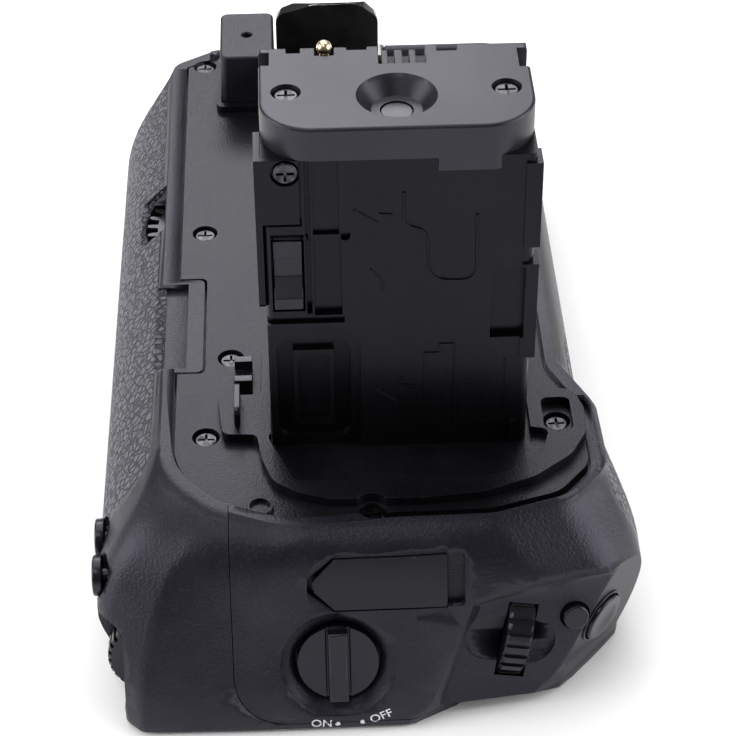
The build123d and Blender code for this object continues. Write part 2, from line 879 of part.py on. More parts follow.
def base_cut():
    plate = block(lens_x + base_plate_shift - base_plate_length / 2,
                  lens_x + base_plate_shift + base_plate_length / 2,
                  lens_y - base_plate_width / 2, lens_y + base_plate_width / 2,
                  -overrun, base_plate_thickness)
    return fillet(plate.edges().filter_by(Axis.Z), base_corner)


def pad_faces(shrink):
    solids = []
    for share in pad_shares:
        x = along(share)
        pad = block(x - pad_length / 2 + shrink, x + pad_length / 2 - shrink,
                    pad_y - pad_width / 2 + shrink, pad_y + pad_width / 2 - shrink, 0, pad_thickness)
        solids.append(fillet(pad.edges().filter_by(Axis.Z), base_corner))
    return solids


def rubber_skin(x0, x1, z0, z1, y0, y1, shift_y):
    region = block(x0, x1, y0, y1, z0, z1)
    region = fillet(region.edges().filter_by(Axis.Y), rubber_corner)
    inner = Pos(0, shift_y, -rubber_thickness / 2) * form
    return (form & region) - inner


def rear_rubber_solid():
    skin = rubber_skin(along(rubber_start_share), along(rubber_end_share), rubber_low, rubber_high,
                       plan_rear - rim_width, rear_wall + overrun, -rubber_thickness)
    return skin


def front_rubber_solid():
    skin = rubber_skin(along(front_rubber_start_share), along(front_rubber_end_share),
                       rubber_low, front_rubber_top, front_wall - overrun,
                       deep(front_rubber_depth_share), rubber_thickness)
    return skin


rear_rubber_blank = whole(rear_rubber_solid())
front_rubber_blank = whole(front_rubber_solid())


def make_casing():
    casing = form - plate_recess() - hollows()
    for post in columns():
        casing += post & front_region()
    casing -= knob_cut() + cover_cut()
    casing -= facet_cut()
    casing -= dial_cut() + fn_cut() + shutter_cut()
    casing -= rear_button_cut() + rear_dial_cut()
    casing -= drive_cut() + base_cut()
    for pad in pad_faces(0):
        casing -= pad
    casing -= rear_rubber_blank
    casing -= front_rubber_blank
    for place in plate_screw_places() + skirt_screw_places():
        casing -= place * screw_hole(plate_screw_length)
    for place in base_screw_places():
        casing -= place * screw_hole()
    casing -= cam_cut() + cable_cut() + boss_block(seat_gap)
    return casing


def boss_block(grow):
    rear = deep(post_front_share) - boss_gap
    return block(along(boss_start_share) - boss_flare - grow, along(boss_end_share) + boss_flare / 2 + grow,
                 rear - boss_width - boss_flare - grow, rear + grow, body_height, post_top + boss_height)


def cam_cut():
    half = lock_cam_width / 2
    wall_distance = bay_rear - lock_y
    rise = math.sqrt(lock_cam_reach ** 2 - wall_distance ** 2)
    return block(plate_inner - tray_cam_room, plate_inner, bay_rear - overrun / 2, bay_rear + partition + gap,
                 lock_z - half - gap, lock_z + rise + half + gap)


def cable_cut():
    return block(cable_x - cable_thickness / 2 - gap, cable_x + cable_thickness / 2 + gap,
                 cable_y - cable_width / 2 - gap, cable_y + cable_width / 2 + gap,
                 roof_top - overrun, post_top)


def make_shells():
    casing = make_casing()
    region = front_region()
    front = whole(casing & region)
    rear = whole(casing - offset_region(region))
    save("front_shell", front)
    save("rear_shell", rear)


def offset_region(region):
    return region + Pos(0, parting_gap, -parting_gap) * region


def make_rubber():
    wheel = rod(wheel_outer + gap, wheel_x, wheel_y, gear_bottom - drive_gap, gear_top + drive_gap)
    save("rear_rubber", whole(rear_rubber_blank - drive_cut() - wheel - rear_button_cut()))
    save("front_rubber", front_rubber_blank)


def make_top_plate():
    plate = extrude(plan(rim_width + plate_gap, plate_bottom), plate_thickness)
    plate -= rear_step(plate_gap)
    lug_x, lug_y = along(lug_share), deep(lug_side_share)
    lug = rod(lug_radius, lug_x, lug_y, body_height, body_height + lug_height)
    plate += lug - rod(lug_radius - lug_wall, lug_x, lug_y, body_height, post_top)
    plate -= seat_pad_solid(seat_gap)
    for place in plate_screw_places() + skirt_screw_places():
        plate -= place * screw_hole(plate_screw_length)
    plate -= rod(attach_radius + attach_journal + gap, lens_x, lens_y, plate_bottom, body_height)
    plate -= cable_cut()
    save("top_plate", whole(plate))


def seat_pad_solid(grow):
    x, y = along(seat_pad_share), deep(seat_pad_side_share)
    pad = block(x - seat_pad_length / 2 - grow, x + seat_pad_length / 2 + grow,
                y - seat_pad_width / 2 - grow, y + seat_pad_width / 2 + grow,
                body_height - seat_pad_sink, body_height + seat_pad_rise)
    return fillet(pad.edges().filter_by(Axis.Z), base_corner)


def make_seat_pad():
    save("seat_pad", whole(seat_pad_solid(0)))


def skirt_points(shares):
    return [(tower_near + across * tower_length, tower_rear - side * tower_width)
            for across, side, radius in shares]


def skirt_face(shares, height):
    radii = [radius * tower_length for across, side, radius in shares]
    return Pos(0, 0, height) * make_face(FilletPolyline(*skirt_points(shares), radius=radii, close=True))


def make_skirt():
    skirt = extrude(skirt_face(skirt_shares, body_height), skirt_height)
    skirt -= extrude(skirt_face(skirt_recess_shares, body_height + skirt_height - skirt_recess), overrun)
    skirt -= block(tower_near - seat_gap, tower_far + seat_gap, tower_front - side_rib_proud - seat_gap,
                   tower_rear + seat_gap, body_height, post_top)
    notch, pocket = skirt_screw_places()
    skirt -= notch * rod(notch_radius, 0, 0, -overrun, overrun)
    x = tower_near + pocket_share * tower_length
    y = tower_rear - pocket_side_share * tower_width
    half_length = pocket_length_share * tower_length / 2
    half_width = pocket_width_share * tower_width / 2
    hole = block(x - half_length, x + half_length, y - half_width, y + half_width,
                 body_height, post_top)
    skirt -= fillet(hole.edges().filter_by(Axis.Z), half_width / 2)
    save("tower_skirt", whole(skirt))


def tower_blank():
    blank = block(tower_skin, tower_far, tower_front, tower_rear, body_height, shell_top)
    blank = fillet(blank.edges().filter_by(Axis.Z), tower_edge_radius)
    for low, high in side_rib_shares:
        z0 = tower_place(0, low)[1]
        z1 = tower_place(0, high)[1]
        blank += block(tower_near, tower_skin + tower_near_wall, tower_front - side_rib_proud,
                       tower_front + side_rib_width, z0, z1)
    across0, across1, up0, up1 = foot_bump_shares
    y1, z0 = tower_place(across0, up0)
    y0, z1 = tower_place(across1, up1)
    blank += block(tower_skin - foot_bump_proud, tower_skin + foot_bump_proud, y0, y1, z0, z1)
    return blank


def recess_shape(shares, radius):
    cut = tower_cut(shares)
    return fillet(cut.edges().filter_by(Axis.X), radius)


def tower_features(shell):
    corner = tower_cut(outer_recess_shares)
    top_front = corner.edges().filter_by(Axis.X).sort_by(Axis.Z)[-2:].sort_by(Axis.Y)[0]
    shell -= fillet(top_front, 2 * recess_corner)
    shell -= recess_shape(inner_recess_shares, recess_corner)
    frame = tower_cut(frame_shares)
    ring = block(tower_skin + frame_shares[4] * tower_near_wall,
                 tower_skin + inner_recess_shares[4] * tower_near_wall,
                 frame.bounding_box().min.Y, frame.bounding_box().max.Y,
                 frame.bounding_box().min.Z, frame.bounding_box().max.Z)
    shell += ring
    shell -= tower_cut(frame_hole_shares)
    for shares in (strip_shares, groove_shares, channel_shares, panel_shares, ledge_shares,
                   side_recess_shares, lever_bay_shares):
        shell -= tower_cut(shares)
    y, z = tower_place(pin_hole_across, pin_hole_up)
    shell -= Pos(tower_skin, y, z) * Rot(0, 90, 0) * Cylinder(pin_hole_radius, 2 * pin_hole_radius)
    shell -= strip_screw_place() * screw_hole(strip_screw_length)
    shell -= lever_pivot_cut()
    return shell


def make_tower():
    blank = tower_blank()
    inner = block(tower_skin + tower_near_wall, tower_far - tower_wall, tower_front + tower_wall,
                  tower_rear - tower_wall, body_height, shell_top)
    blank -= inner
    split = tower_near + tower_split_share * tower_length
    near = blank & block(tower_near - overrun, split, tower_front - overrun, tower_rear + overrun,
                         0, tower_top)
    far = blank & block(split, tower_far + overrun, tower_front - overrun,
                        tower_rear + overrun, 0, tower_top)
    bosses = [rod(cap_boss_radius, place.position.X, place.position.Y, shell_top - cap_boss_length, shell_top)
              for place in cap_screw_places()]
    near = near + bosses[0] + bosses[1]
    near = tower_features(near)
    for place in cap_screw_places():
        near -= place * screw_hole(cap_screw_length)
    save("tower_near_shell", whole(near))
    save("tower_far_shell", whole(far))


def make_cap():
    cap = block(tower_near, tower_far, tower_front, tower_rear, shell_top, tower_top)
    upright = cap.edges().filter_by(Axis.Z).sort_by(Axis.X)
    cap = fillet(upright[:2], cap_corner_radius)
    cap = fillet(cap.edges().group_by(Axis.Z)[-1], cap_edge)
    for start, end, depth in cap_notch_shares:
        cap -= block(tower_far - depth * tower_length, tower_far + overrun,
                     tower_rear - end * tower_width, tower_rear - start * tower_width,
                     shell_top - overrun, tower_top + overrun)
    for start, end, low, high in cap_side_notch_shares:
        cap -= block(tower_near + low * tower_length, tower_near + high * tower_length,
                     tower_rear - end * tower_width, tower_rear - start * tower_width,
                     shell_top - overrun, tower_top + overrun)
    cone = Pos(cap_recess_x, tower_y, tower_top - cap_recess_depth / 2) * Cone(
        cap_recess_floor_radius, cap_recess_radius, cap_recess_depth)
    cap -= cone
    cap -= rod(cap_pin_radius + running_fit, cap_recess_x, tower_y, shell_top - overrun, tower_top)
    start, end = cap_lip_shares
    lip = block(tower_near, tower_far, tower_front, tower_rear, shell_top - cap_lip_height,
                shell_top + cap_edge)
    lip = fillet(lip.edges().filter_by(Axis.Z).group_by(Axis.X)[0], cap_corner_radius)
    lip &= block(tower_near + lip_set_back, tower_skin, tower_rear - end * tower_width,
                 tower_rear - start * tower_width, 0, tower_top)
    cap += lip
    for place in cap_screw_places():
        cap -= place * screw_hole(cap_screw_length)
    save("tower_cap", whole(cap))
    pin = rod(cap_pin_radius, cap_recess_x, tower_y, shell_top,
              tower_top - cap_recess_depth - cap_pin_sink)
    save("cap_pin", whole(fillet(pin.edges().group_by(Axis.Z)[-1], cap_pin_sink)))


def make_contacts():
    start, end, depth = cap_notch_shares[3]
    x0 = tower_far - depth * tower_length + seat_gap
    x1 = tower_far - fin_set_back
    y0 = tower_rear - end * tower_width + seat_gap
    y1 = tower_rear - start * tower_width - seat_gap
    holder = block(x0, x1, y0, y1, shell_top - contact_drop, shell_top)
    for low, high in fin_shares:
        holder += block(x0, x1, tower_rear - high * tower_width, tower_rear - low * tower_width,
                        shell_top, tower_top - fin_drop)
    holder &= block(x0, tower_far - tower_wall, tower_front, tower_rear, 0, shell_top) + block(
        x0, x1, tower_front, tower_rear, shell_top, tower_top)
    save("contact_holder", whole(holder))
    x = tower_far - contact_set
    y = tower_rear - contact_ball_share * tower_width
    ball_z = tower_top + contact_rise
    pin = rod(contact_ball_radius * stem_share, x, y, shell_top, ball_z)
    pin += Pos(x, y, ball_z) * Sphere(contact_ball_radius)
    pin += block(x - contact_ball_radius, x + contact_ball_radius, y - contact_ball_radius,
                 y + contact_ball_radius, shell_top, shell_top + contact_foot)
    save("contact_pin", whole(pin))


def make_strip():
    across0, across1, up0, up1, depth = strip_shares
    cut = tower_cut((across0, across1 - strip_line_share, up0 + strip_line_share, up1, depth), overrun)
    box = cut.bounding_box()
    plate = block(tower_skin, box.max.X, box.min.Y, tower_rear, box.min.Z, shell_top)
    low = tower_place(0, strip_flange_low_share)[1]
    flange = block(tower_skin, tower_skin + strip_flange_reach, tower_rear,
                   tower_rear + strip_flange_thickness, low, shell_top)
    foot = flange.edges().filter_by(Axis.Y).sort_by(Axis.Z)[:2]
    flange = fillet(foot, strip_flange_thickness)
    strip = plate + flange
    strip -= strip_screw_place() * screw_hole(strip_screw_length)
    save("tower_strip", whole(strip))


lever_x = tower_skin + lever_axis_depth
lever_y0 = tower_rear - lever_bay_shares[1] * tower_width
lever_y1 = tower_rear - lever_bay_shares[0] * tower_width
lever_z0 = tower_place(0, lever_bay_shares[2])[1]
lever_z1 = tower_place(0, lever_bay_shares[3])[1]
lever_axis_z = lever_z1 - lever_axis_drop


def lever_pivot_cut():
    return Pos(lever_x, (lever_y0 + lever_y1) / 2, lever_axis_z) * Rot(90, 0, 0) * Cylinder(
        lever_pin_radius + running_fit, lever_y1 - lever_y0 + 2 * lever_pin_reach)


def make_lever():
    y0 = lever_y0 + gap
    y1 = lever_y1 - gap
    front = tower_skin + lever_sink
    tip = lever_z0 + lever_tip_gap
    points = [(front, lever_axis_z), (front, lever_axis_z - lever_shoulder),
              (front + lever_dip, lever_axis_z - lever_shoulder),
              (front + lever_dip, tip + 2 * lever_tip_height),
              (front - lever_tip_proud, tip + lever_tip_height), (front - lever_tip_proud, tip + lever_sink),
              (front, tip), (front + lever_thickness, tip),
              (front + lever_thickness, lever_axis_z)]
    side = make_face(Polyline(*[(x, z) for x, z in points], close=True))
    body = extrude(Plane((0, y1, 0), x_dir=(1, 0, 0), z_dir=(0, -1, 0)) * side, y1 - y0)
    hub = Pos(lever_x, (y0 + y1) / 2, lever_axis_z) * Rot(90, 0, 0) * Cylinder(
        lever_thickness / 2, y1 - y0)
    pin = Pos(lever_x, (lever_y0 + lever_y1) / 2, lever_axis_z) * Rot(90, 0, 0) * Cylinder(
        lever_pin_radius, lever_y1 - lever_y0 + 2 * lever_pin_reach - gap)
    save("tower_lever", whole(body + hub + pin))


def gear_shape(teeth, thickness, turn):
    pitch = gear_module * teeth / 2
    root = pitch - gear_dedendum
    tip = pitch + gear_addendum
    step = 2 * math.pi / teeth
    half = step * tooth_share / 2
    blank = Cylinder(root, thickness)
    lean = gear_lean_share * half
    for index in range(teeth):
        angle = turn + index * step
        points = [(root - gear_dedendum, -half - lean), (root - gear_dedendum, half + lean),
                  (pitch, half), (tip, half - lean), (tip, -half + lean), (pitch, -half)]
        corners = [(r * math.cos(angle + a), r * math.sin(angle + a)) for r, a in points]
        blank += extrude(Pos(0, 0, -thickness / 2) * make_face(Polyline(*corners, close=True)), thickness)
    return blank


def make_drive():
    heading = math.atan2(wheel_y - lens_y, wheel_x - lens_x)
    middle = (gear_bottom + gear_top) / 2
    pinion = Pos(lens_x, lens_y, middle) * gear_shape(screw_gear_teeth, gear_thickness, heading)
    journal = rod(attach_radius + attach_journal, lens_x, lens_y, gear_top, body_height - thread_relief)
    tip = body_height + attach_point
    core = rod(attach_radius - thread_depth, lens_x, lens_y, body_height - thread_relief, tip)
    screw = pinion + journal + core
    turns = int((attach_point - thread_start - attach_tip) / thread_pitch)
    for index in range(turns):
        z = body_height + thread_start + (index + thread_start_share) * thread_pitch
        lower = Cone(attach_radius - thread_depth, attach_radius, thread_pitch * thread_flank_share)
        upper = Cone(attach_radius, attach_radius - thread_depth, thread_pitch * thread_flank_share)
        crest = thread_pitch * thread_crest_share / 2
        half = crest + thread_pitch * thread_flank_share / 2
        screw += Pos(lens_x, lens_y, z - half) * lower + Pos(lens_x, lens_y, z + half) * upper
        screw += rod(attach_radius, lens_x, lens_y, z - crest, z + crest)
    screw += rod(pivot_radius, lens_x, lens_y, bracket_top - pivot_depth, gear_bottom)
    save("attachment_screw", whole(screw))
    shift = math.pi + heading + math.pi / wheel_teeth
    wheel = Pos(wheel_x, wheel_y, middle) * gear_shape(wheel_teeth, gear_thickness, shift)
    wheel += rod(pivot_radius, wheel_x, wheel_y, bracket_top - pivot_depth, gear_bottom)
    wheel += rod(pivot_radius, wheel_x, wheel_y, gear_top, roof_top + pivot_depth)
    save("attachment_wheel", whole(wheel))


def make_bracket():
    x0 = lens_x - bracket_margin
    x1 = wheel_x + bracket_margin
    y0 = cavity_front + gap
    y1 = wheel_y + bracket_margin
    bracket = block(x0, x1, y0, y1, bracket_bottom, bracket_top)
    leg_bottom = bottom_skin
    bracket += block(x0, x1, y1 - bracket_leg, y1, leg_bottom, bracket_top)
    bracket += block(x0, x1, y0, y0 + bracket_foot, socket_depth + gap, bracket_bottom)
    for x, y in ((lens_x, lens_y), (wheel_x, wheel_y)):
        bracket -= rod(pivot_radius + running_fit, x, y, bracket_top - pivot_depth - gap, bracket_top)
    save("drive_bracket", whole(bracket))


def make_base():
    socket = rod(socket_radius + socket_wall, lens_x, lens_y, 0, socket_depth)
    socket -= rod(socket_radius, lens_x, lens_y, 0, socket_depth - socket_roof)
    save("tripod_socket", whole(socket))
    plate = base_cut() & block(-body_length, body_length, -body_depth, body_depth, 0, base_plate_thickness)
    plate -= rod(socket_radius + socket_wall, lens_x, lens_y, 0, base_plate_thickness)
    save("base_plate", whole(plate))
    save("base_pads", all_solids(pad_faces(seat_gap)))


def make_screws():
    groups = {"plate_screws": plate_screw_places(), "skirt_screws": skirt_screw_places()}
    for name, places in groups.items():
        save(name, all_solids([place * screw_solid(plate_screw_length) for place in places]))
    save("base_screws", all_solids([place * screw_solid() for place in base_screw_places()]))
    save("cap_screws", all_solids([place * screw_solid(cap_screw_length) for place in cap_screw_places()]))
    save("strip_screw", whole(strip_screw_place() * screw_solid(strip_screw_length)))


def make_plate_furniture():
    x0, x1 = along(post_start_share), along(post_end_share)
    y0, y1 = deep(post_front_share), deep(post_rear_share)
    post = block(x0, x1, y0, y1, body_height, body_height + post_height)
    post = fillet(post.edges().filter_by(Axis.Z), post_corner)
    post = fillet(post.edges().group_by(Axis.Z)[-1], post_edge)
    hole = rod(post_hole_radius, (x0 + x1) / 2, (y0 + y1) / 2,
               body_height + post_height - post_hole_depth, post_top + post_height)
    save("locating_post", whole(post - hole))
    collar = block(x0 - collar_width, x1, y0 - collar_width, y1 + collar_rear,
                   body_height, body_height + collar_height)
    collar = fillet(collar.edges().filter_by(Axis.Z), post_corner)
    collar -= block(x0 - seat_gap, x1 + overrun, y0 - seat_gap, y1 + seat_gap, 0, post_top)
    save("post_collar", whole(collar - boss_block(seat_gap)))
    bx0, bx1 = along(boss_start_share), along(boss_end_share)
    by1 = y0 - boss_gap
    by0 = by1 - boss_width
    corners = [(by1, 0), (by1, boss_height - boss_left_drop), (by1 - boss_slope, boss_height),
               (by0 + boss_round, boss_height), (by0, boss_height - boss_round), (by0, 0)]
    radii = [0, boss_corner, boss_shoulder, boss_shoulder, boss_corner, 0]
    front = Plane(origin=(bx0, 0, body_height), x_dir=(0, 1, 0), z_dir=(1, 0, 0))
    boss = extrude(front * make_face(FilletPolyline(*corners, radius=radii, close=True)), bx1 - bx0)
    boss &= Pos(bx0 + boss_bow, (by0 + by1) / 2, 0) * Cylinder(boss_bow, 4 * body_height)
    behind = Pos(bx0, 0, body_height + boss_height - boss_lip) * Rot(0, boss_lean, 0)
    boss -= behind * Pos(0, 0, overrun) * Box(4 * boss_width, 4 * boss_width, 2 * overrun)
    flare = block(bx0 - boss_flare, bx1 + boss_flare / 2, by0 - boss_flare, by1, body_height,
                  body_height + boss_flare)
    flare = chamfer(flare.edges().group_by(Axis.Z)[-1], boss_flare * flare_share)
    save("guide_boss", whole(boss + flare))
    pin = rod(align_pin_radius, along(align_pin_share), lens_y, body_height, body_height + align_pin_height)
    save("alignment_pin", whole(fillet(pin.edges().group_by(Axis.Z)[-1], align_pin_radius / 2)))


def make_holder():
    prong_x = [along(share) for share in prong_shares]
    y0 = deep(prong_side_share)
    y1 = y0 + prong_width
    base = block(prong_x[0] - prong_thickness, prong_x[1] + prong_thickness, y0, y1,
                 body_height + skirt_height, body_height + skirt_height + prong_foot)
    holder = base
    for x in prong_x:
        holder += block(x - prong_thickness, x + prong_thickness, y0, y1,
                        body_height + skirt_height, body_height + skirt_height + prong_height)
    holder = whole(holder)
    down = body_height + skirt_height
    holder = Pos(0, 0, -skirt_height) * holder
    save("cover_clip", holder)
    x0, x1 = along(blade_start_share), along(blade_end_share)
    yb = deep(blade_side_share)
    blade = block(x0, x1, yb, yb + blade_thickness, down, down + blade_height)
    blade = fillet(blade.edges().filter_by(Axis.Y).group_by(Axis.Z)[-1], blade_height / 3)
    save("cover_blade", whole(blade))


def make_tray():
    body = block(tray_start, plate_outer, tray_front, tray_rear, tray_bottom, tray_top)
    bulkhead_top = bay_top - bay_head_room - tray_play
    body += block(tray_start, tray_start + tray_bulkhead, tray_front, tray_rear, tray_bottom, bulkhead_top)
    middle = pack_far_2 + pack_play
    body += block(middle, middle + tray_bulkhead, tray_front, tray_rear, tray_bottom,
                  tray_top + tray_middle_share * pack_height)
    end = block(plate_inner, tray_end + overrun, tray_front, tray_rear, tray_bottom, bulkhead_top) & form
    body += end
    body -= lock_plane * rod(lock_radius + gap, 0, 0, -lock_sink - lock_disc_thickness, overrun)
    body -= lock_plane * rod(lock_shaft_radius + running_fit, 0, 0, -tray_end_plate - tray_cam_room, 0)
    save("battery_tray", whole(body))
    for name, far in (("battery_pack_1", pack_far_1), ("battery_pack_2", pack_far_2)):
        middle_y = bay_middle
        pack = block(far - pack_length, far, middle_y - pack_width / 2, middle_y + pack_width / 2,
                     pack_bottom, pack_bottom + pack_height)
        pack = fillet(pack.edges().filter_by(Axis.X), pack_corner)
        for side in pack_groove_shares:
            y = middle_y + side * pack_width
            pack -= block(far - pack_length - overrun, far - pack_length + pack_groove_length,
                          y - pack_groove_width / 2, y + pack_groove_width / 2,
                          pack_bottom + pack_height - pack_groove_depth, pack_bottom + pack_height + overrun)
        save(name, whole(pack))
    pads = []
    for start in (tray_start + tray_bulkhead, middle + tray_bulkhead):
        for share in contact_pad_shares:
            y = bay_front + share * (bay_rear - bay_front)
            pads.append(block(start - tray_bulkhead / 2, start, y - pad_half, y + pad_half,
                              tray_top + pad_half, tray_top + pad_rise))
    body = whole(body)
    for pad in pads:
        body -= pad
    save("battery_tray", whole(body))
    save("tray_contacts", all_solids(pads))


def make_lock():
    disc = lock_plane * rod(lock_radius, 0, 0, -lock_sink - lock_disc_thickness, -lock_sink)
    half = lock_ridge_width / 2
    ridge = lock_plane * block(-half, half, -lock_radius + lock_disc_thickness,
                               lock_radius - lock_disc_thickness, -lock_sink, -lock_ridge_drop)
    shaft = lock_plane * rod(lock_shaft_radius, 0, 0, -tray_end_plate - lock_cam_thickness - running_fit,
                             -lock_sink)
    save("tray_lock_knob", whole(disc + ridge + shaft))
    cam_face = -tray_end_plate - cam_gap
    half = lock_cam_width / 2
    cam = lock_plane * block(-half, half, 0, lock_cam_reach - half, cam_face - lock_cam_thickness, cam_face)
    cam += lock_plane * rod(half, 0, lock_cam_reach - half, cam_face - lock_cam_thickness, cam_face)
    cam += lock_plane * rod(half * cam_hub_share, 0, 0, cam_face - lock_cam_thickness, cam_face)
    cam -= lock_plane * rod(lock_shaft_radius, 0, 0, -tray_end_plate - overrun, 0)
    save("tray_lock_cam", whole(cam))


def make_bay_contacts():
    base = block(bay_start, bay_start + bay_block_thickness, bay_front + gap, bay_rear - gap,
                 tray_top + pad_half, tray_top + bay_block_height)
    blades = []
    for share in contact_pad_shares:
        y = bay_front + share * (bay_rear - bay_front)
        blade = block(bay_start + bay_block_thickness, tray_start - gap, y - pad_half / 2, y + pad_half / 2,
                      tray_top + pad_half * 2, tray_top + pad_rise)
        blades.append(blade)
    save("bay_contact_block", whole(base))
    save("bay_contacts", all_solids(blades))


def make_knob():
    low = -knob_thickness - knob_sink
    knob = rod_on(face, knob_radius, knob_across, knob_up, low, -knob_sink)
    half = knob_ridge_width / 2
    reach = knob_radius - knob_groove
    ridge = block(knob_across - half, knob_across + half, knob_up - reach, knob_up + reach,
                  -knob_sink, knob_ridge_height - knob_sink)
    ridge = fillet(ridge.edges().group_by(Axis.Z)[-1], knob_groove)
    knob += face * ridge
    for side in (-1, 1):
        middle = knob_across + side * (half + knob_groove / 2)
        knob -= slab_on(face, middle - knob_groove / 2, middle + knob_groove / 2,
                        knob_up - knob_radius, knob_up + knob_radius,
                        -knob_sink - knob_groove, overrun)
    knob += rod_on(face, knob_shaft_radius, knob_across, knob_up, low - knob_shaft_length, low)
    save("power_knob", whole(knob))
    top = low - switch_gap
    block_half = switch_block_width / 2
    switch = slab_on(face, knob_across - block_half, knob_across + block_half, knob_up - block_half,
                     knob_up + block_half, top - switch_block_depth, top)
    switch -= rod_on(face, knob_shaft_radius + running_fit, knob_across, knob_up,
                     top - switch_block_depth, top)
    cavity = block(near_cavity_start, near_cavity_end, near_cavity_front, near_cavity_rear,
                   bottom_skin, bay_top)
    save("power_switch", whole(switch & cavity))


def make_port_cover():
    cover = form & cover_prism(0, -cover_depth)
    middle = (cover_top + cover_bottom) / 2
    half = cover_barrel / 2
    cover -= slab_on(face, cover_tip_across - overrun, cover_tip_across + hinge_reach,
                     cover_bottom, cover_top, -cover_depth - overrun, -hinge_radius)
    cover -= slab_on(face, cover_tip_across - overrun, cover_tip_across + hinge_radius,
                     cover_bottom, cover_top, -hinge_radius, overrun)
    barrel = face * Pos(cover_tip_across + hinge_radius, middle, -hinge_radius) * Rot(90, 0, 0)
    cover += barrel * Cylinder(hinge_radius, 2 * half)
    save("port_cover", whole(cover))


def ribbed_wheel(radius, width, teeth, depth):
    wheel = Cylinder(radius, width)
    wheel = chamfer(wheel.edges().filter_by(GeomType.CIRCLE), depth)
    step = 360 / teeth
    groove = 2 * math.pi * radius / teeth * groove_share
    for index in range(teeth):
        wheel -= Rot(0, 0, index * step) * Pos(radius, 0, 0) * Box(2 * depth, groove, width + overrun)
    return wheel


def make_dial():
    turn = Rot(0, 90, 0)
    wheel = dial_centre * turn * ribbed_wheel(dial_radius, dial_width, dial_teeth, dial_tooth_depth)
    wheel -= dial_centre * turn * Cylinder(axle_radius + running_fit, dial_width + overrun)
    save("main_dial", whole(wheel))
    axle = dial_centre * turn * Cylinder(axle_radius, dial_width + 2 * axle_overhang)
    save("main_dial_axle", whole(axle))


def button(radius, proud, well, travel):
    cap = rod(radius, 0, 0, -button_flange, proud)
    cap = fillet(cap.edges().group_by(Axis.Z)[-1], button_edge)
    stem = rod(button_stem_radius * stem_scale(radius), 0, 0, -well + travel + gap, -button_flange)
    return cap + stem


def stem_scale(radius):
    return min(1, radius / (2 * button_stem_radius))


def spring(radius, low, height):
    path = Helix(pitch=height / spring_turns, height=height, radius=radius)
    start = Plane(origin=path @ 0, z_dir=path % 0)
    coil = sweep(start * Circle(spring_wire), path=path, is_frenet=True)
    return Pos(0, 0, low) * coil


def spring_at(place, radius, well, height):
    return place * spring(radius, -well + spring_wire + running_fit, height)


def make_buttons():
    fn_place = facet * Pos(fn_across, fn_up, 0)
    shutter_place = shutter_plane
    save("fn_button", whole(fn_place * button(fn_radius, fn_proud, fn_well, fn_travel)))
    shutter = button(shutter_radius, shutter_proud, shutter_well, shutter_travel)
    dish = Pos(0, 0, shutter_proud + dish_sphere - shutter_dish) * Sphere(dish_sphere)
    save("shutter_button", whole(shutter_place * (shutter - dish)))
    bezel = rod(shutter_radius + shutter_bezel, 0, 0, -bezel_depth, bezel_proud)
    bezel = fillet(bezel.edges().group_by(Axis.Z)[-1], bezel_proud / 2)
    bezel -= rod(shutter_radius + gap, 0, 0, -bezel_depth, overrun)
    save("shutter_bezel", whole(shutter_place * bezel))
    for index, place in enumerate(rear_button_places(), start=1):
        save("rear_button_" + str(index),
             whole(place * button(rear_button_radius, rear_button_proud, rear_well, rear_button_travel)))
    springs = [spring_at(fn_place, fn_radius * spring_share, fn_well, fn_spring_height),
               spring_at(shutter_place, shutter_radius * shutter_spring_share, shutter_well,
                         shutter_spring_height)]
    for place in rear_button_places():
        springs.append(spring_at(place, rear_button_radius * spring_share, rear_well, spring_height))
    save("button_springs", all_solids(springs))


def make_rear_dial():
    wheel = ribbed_wheel(rear_dial_radius, rear_dial_width, rear_dial_teeth, dial_tooth_depth)
    wheel -= Cylinder(axle_radius + running_fit, rear_dial_width + overrun)
    save("rear_dial", whole(rear_dial_axis * wheel))
    axle = rear_dial_axis * Cylinder(axle_radius, rear_dial_width + 2 * axle_overhang)
    save("rear_dial_axle", whole(axle))


def make_electronics():
    x = near_cavity_end - board_stand
    control = block(x - board_thickness, x, board_front, board_rear,
                    bottom_skin + board_stand, bay_top - board_stand)
    save("control_board", whole(control))
    main = block(in_bay(board_start_share), in_bay(board_end_share), cavity_front + board_stand,
                 cavity_rear - board_stand, main_board_z, main_board_z + board_thickness)
    main -= rod(column_radius + gap, in_bay(column_shares[0]), column_y, bottom_skin, roof_top)
    save("main_board", whole(main))
    cable = block(cable_x - cable_thickness / 2, cable_x + cable_thickness / 2,
                  cable_y - cable_width / 2, cable_y + cable_width / 2,
                  main_board_z + board_thickness, shell_top - contact_drop)
    save("tower_cable", whole(cable))


make_shells()
make_rubber()
make_top_plate()
make_seat_pad()
make_skirt()
make_tower()
make_cap()
make_contacts()
make_strip()
make_lever()
make_drive()
make_bracket()
make_base()
make_screws()
make_plate_furniture()
make_holder()
make_tray()
make_lock()
make_bay_contacts()
make_knob()
make_port_cover()
make_dial()
make_buttons()
make_rear_dial()
make_electronics()
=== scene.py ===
import bpy
import bmesh
import json
import math
from mathutils import Matrix, Vector
from mathutils.bvhtree import BVHTree


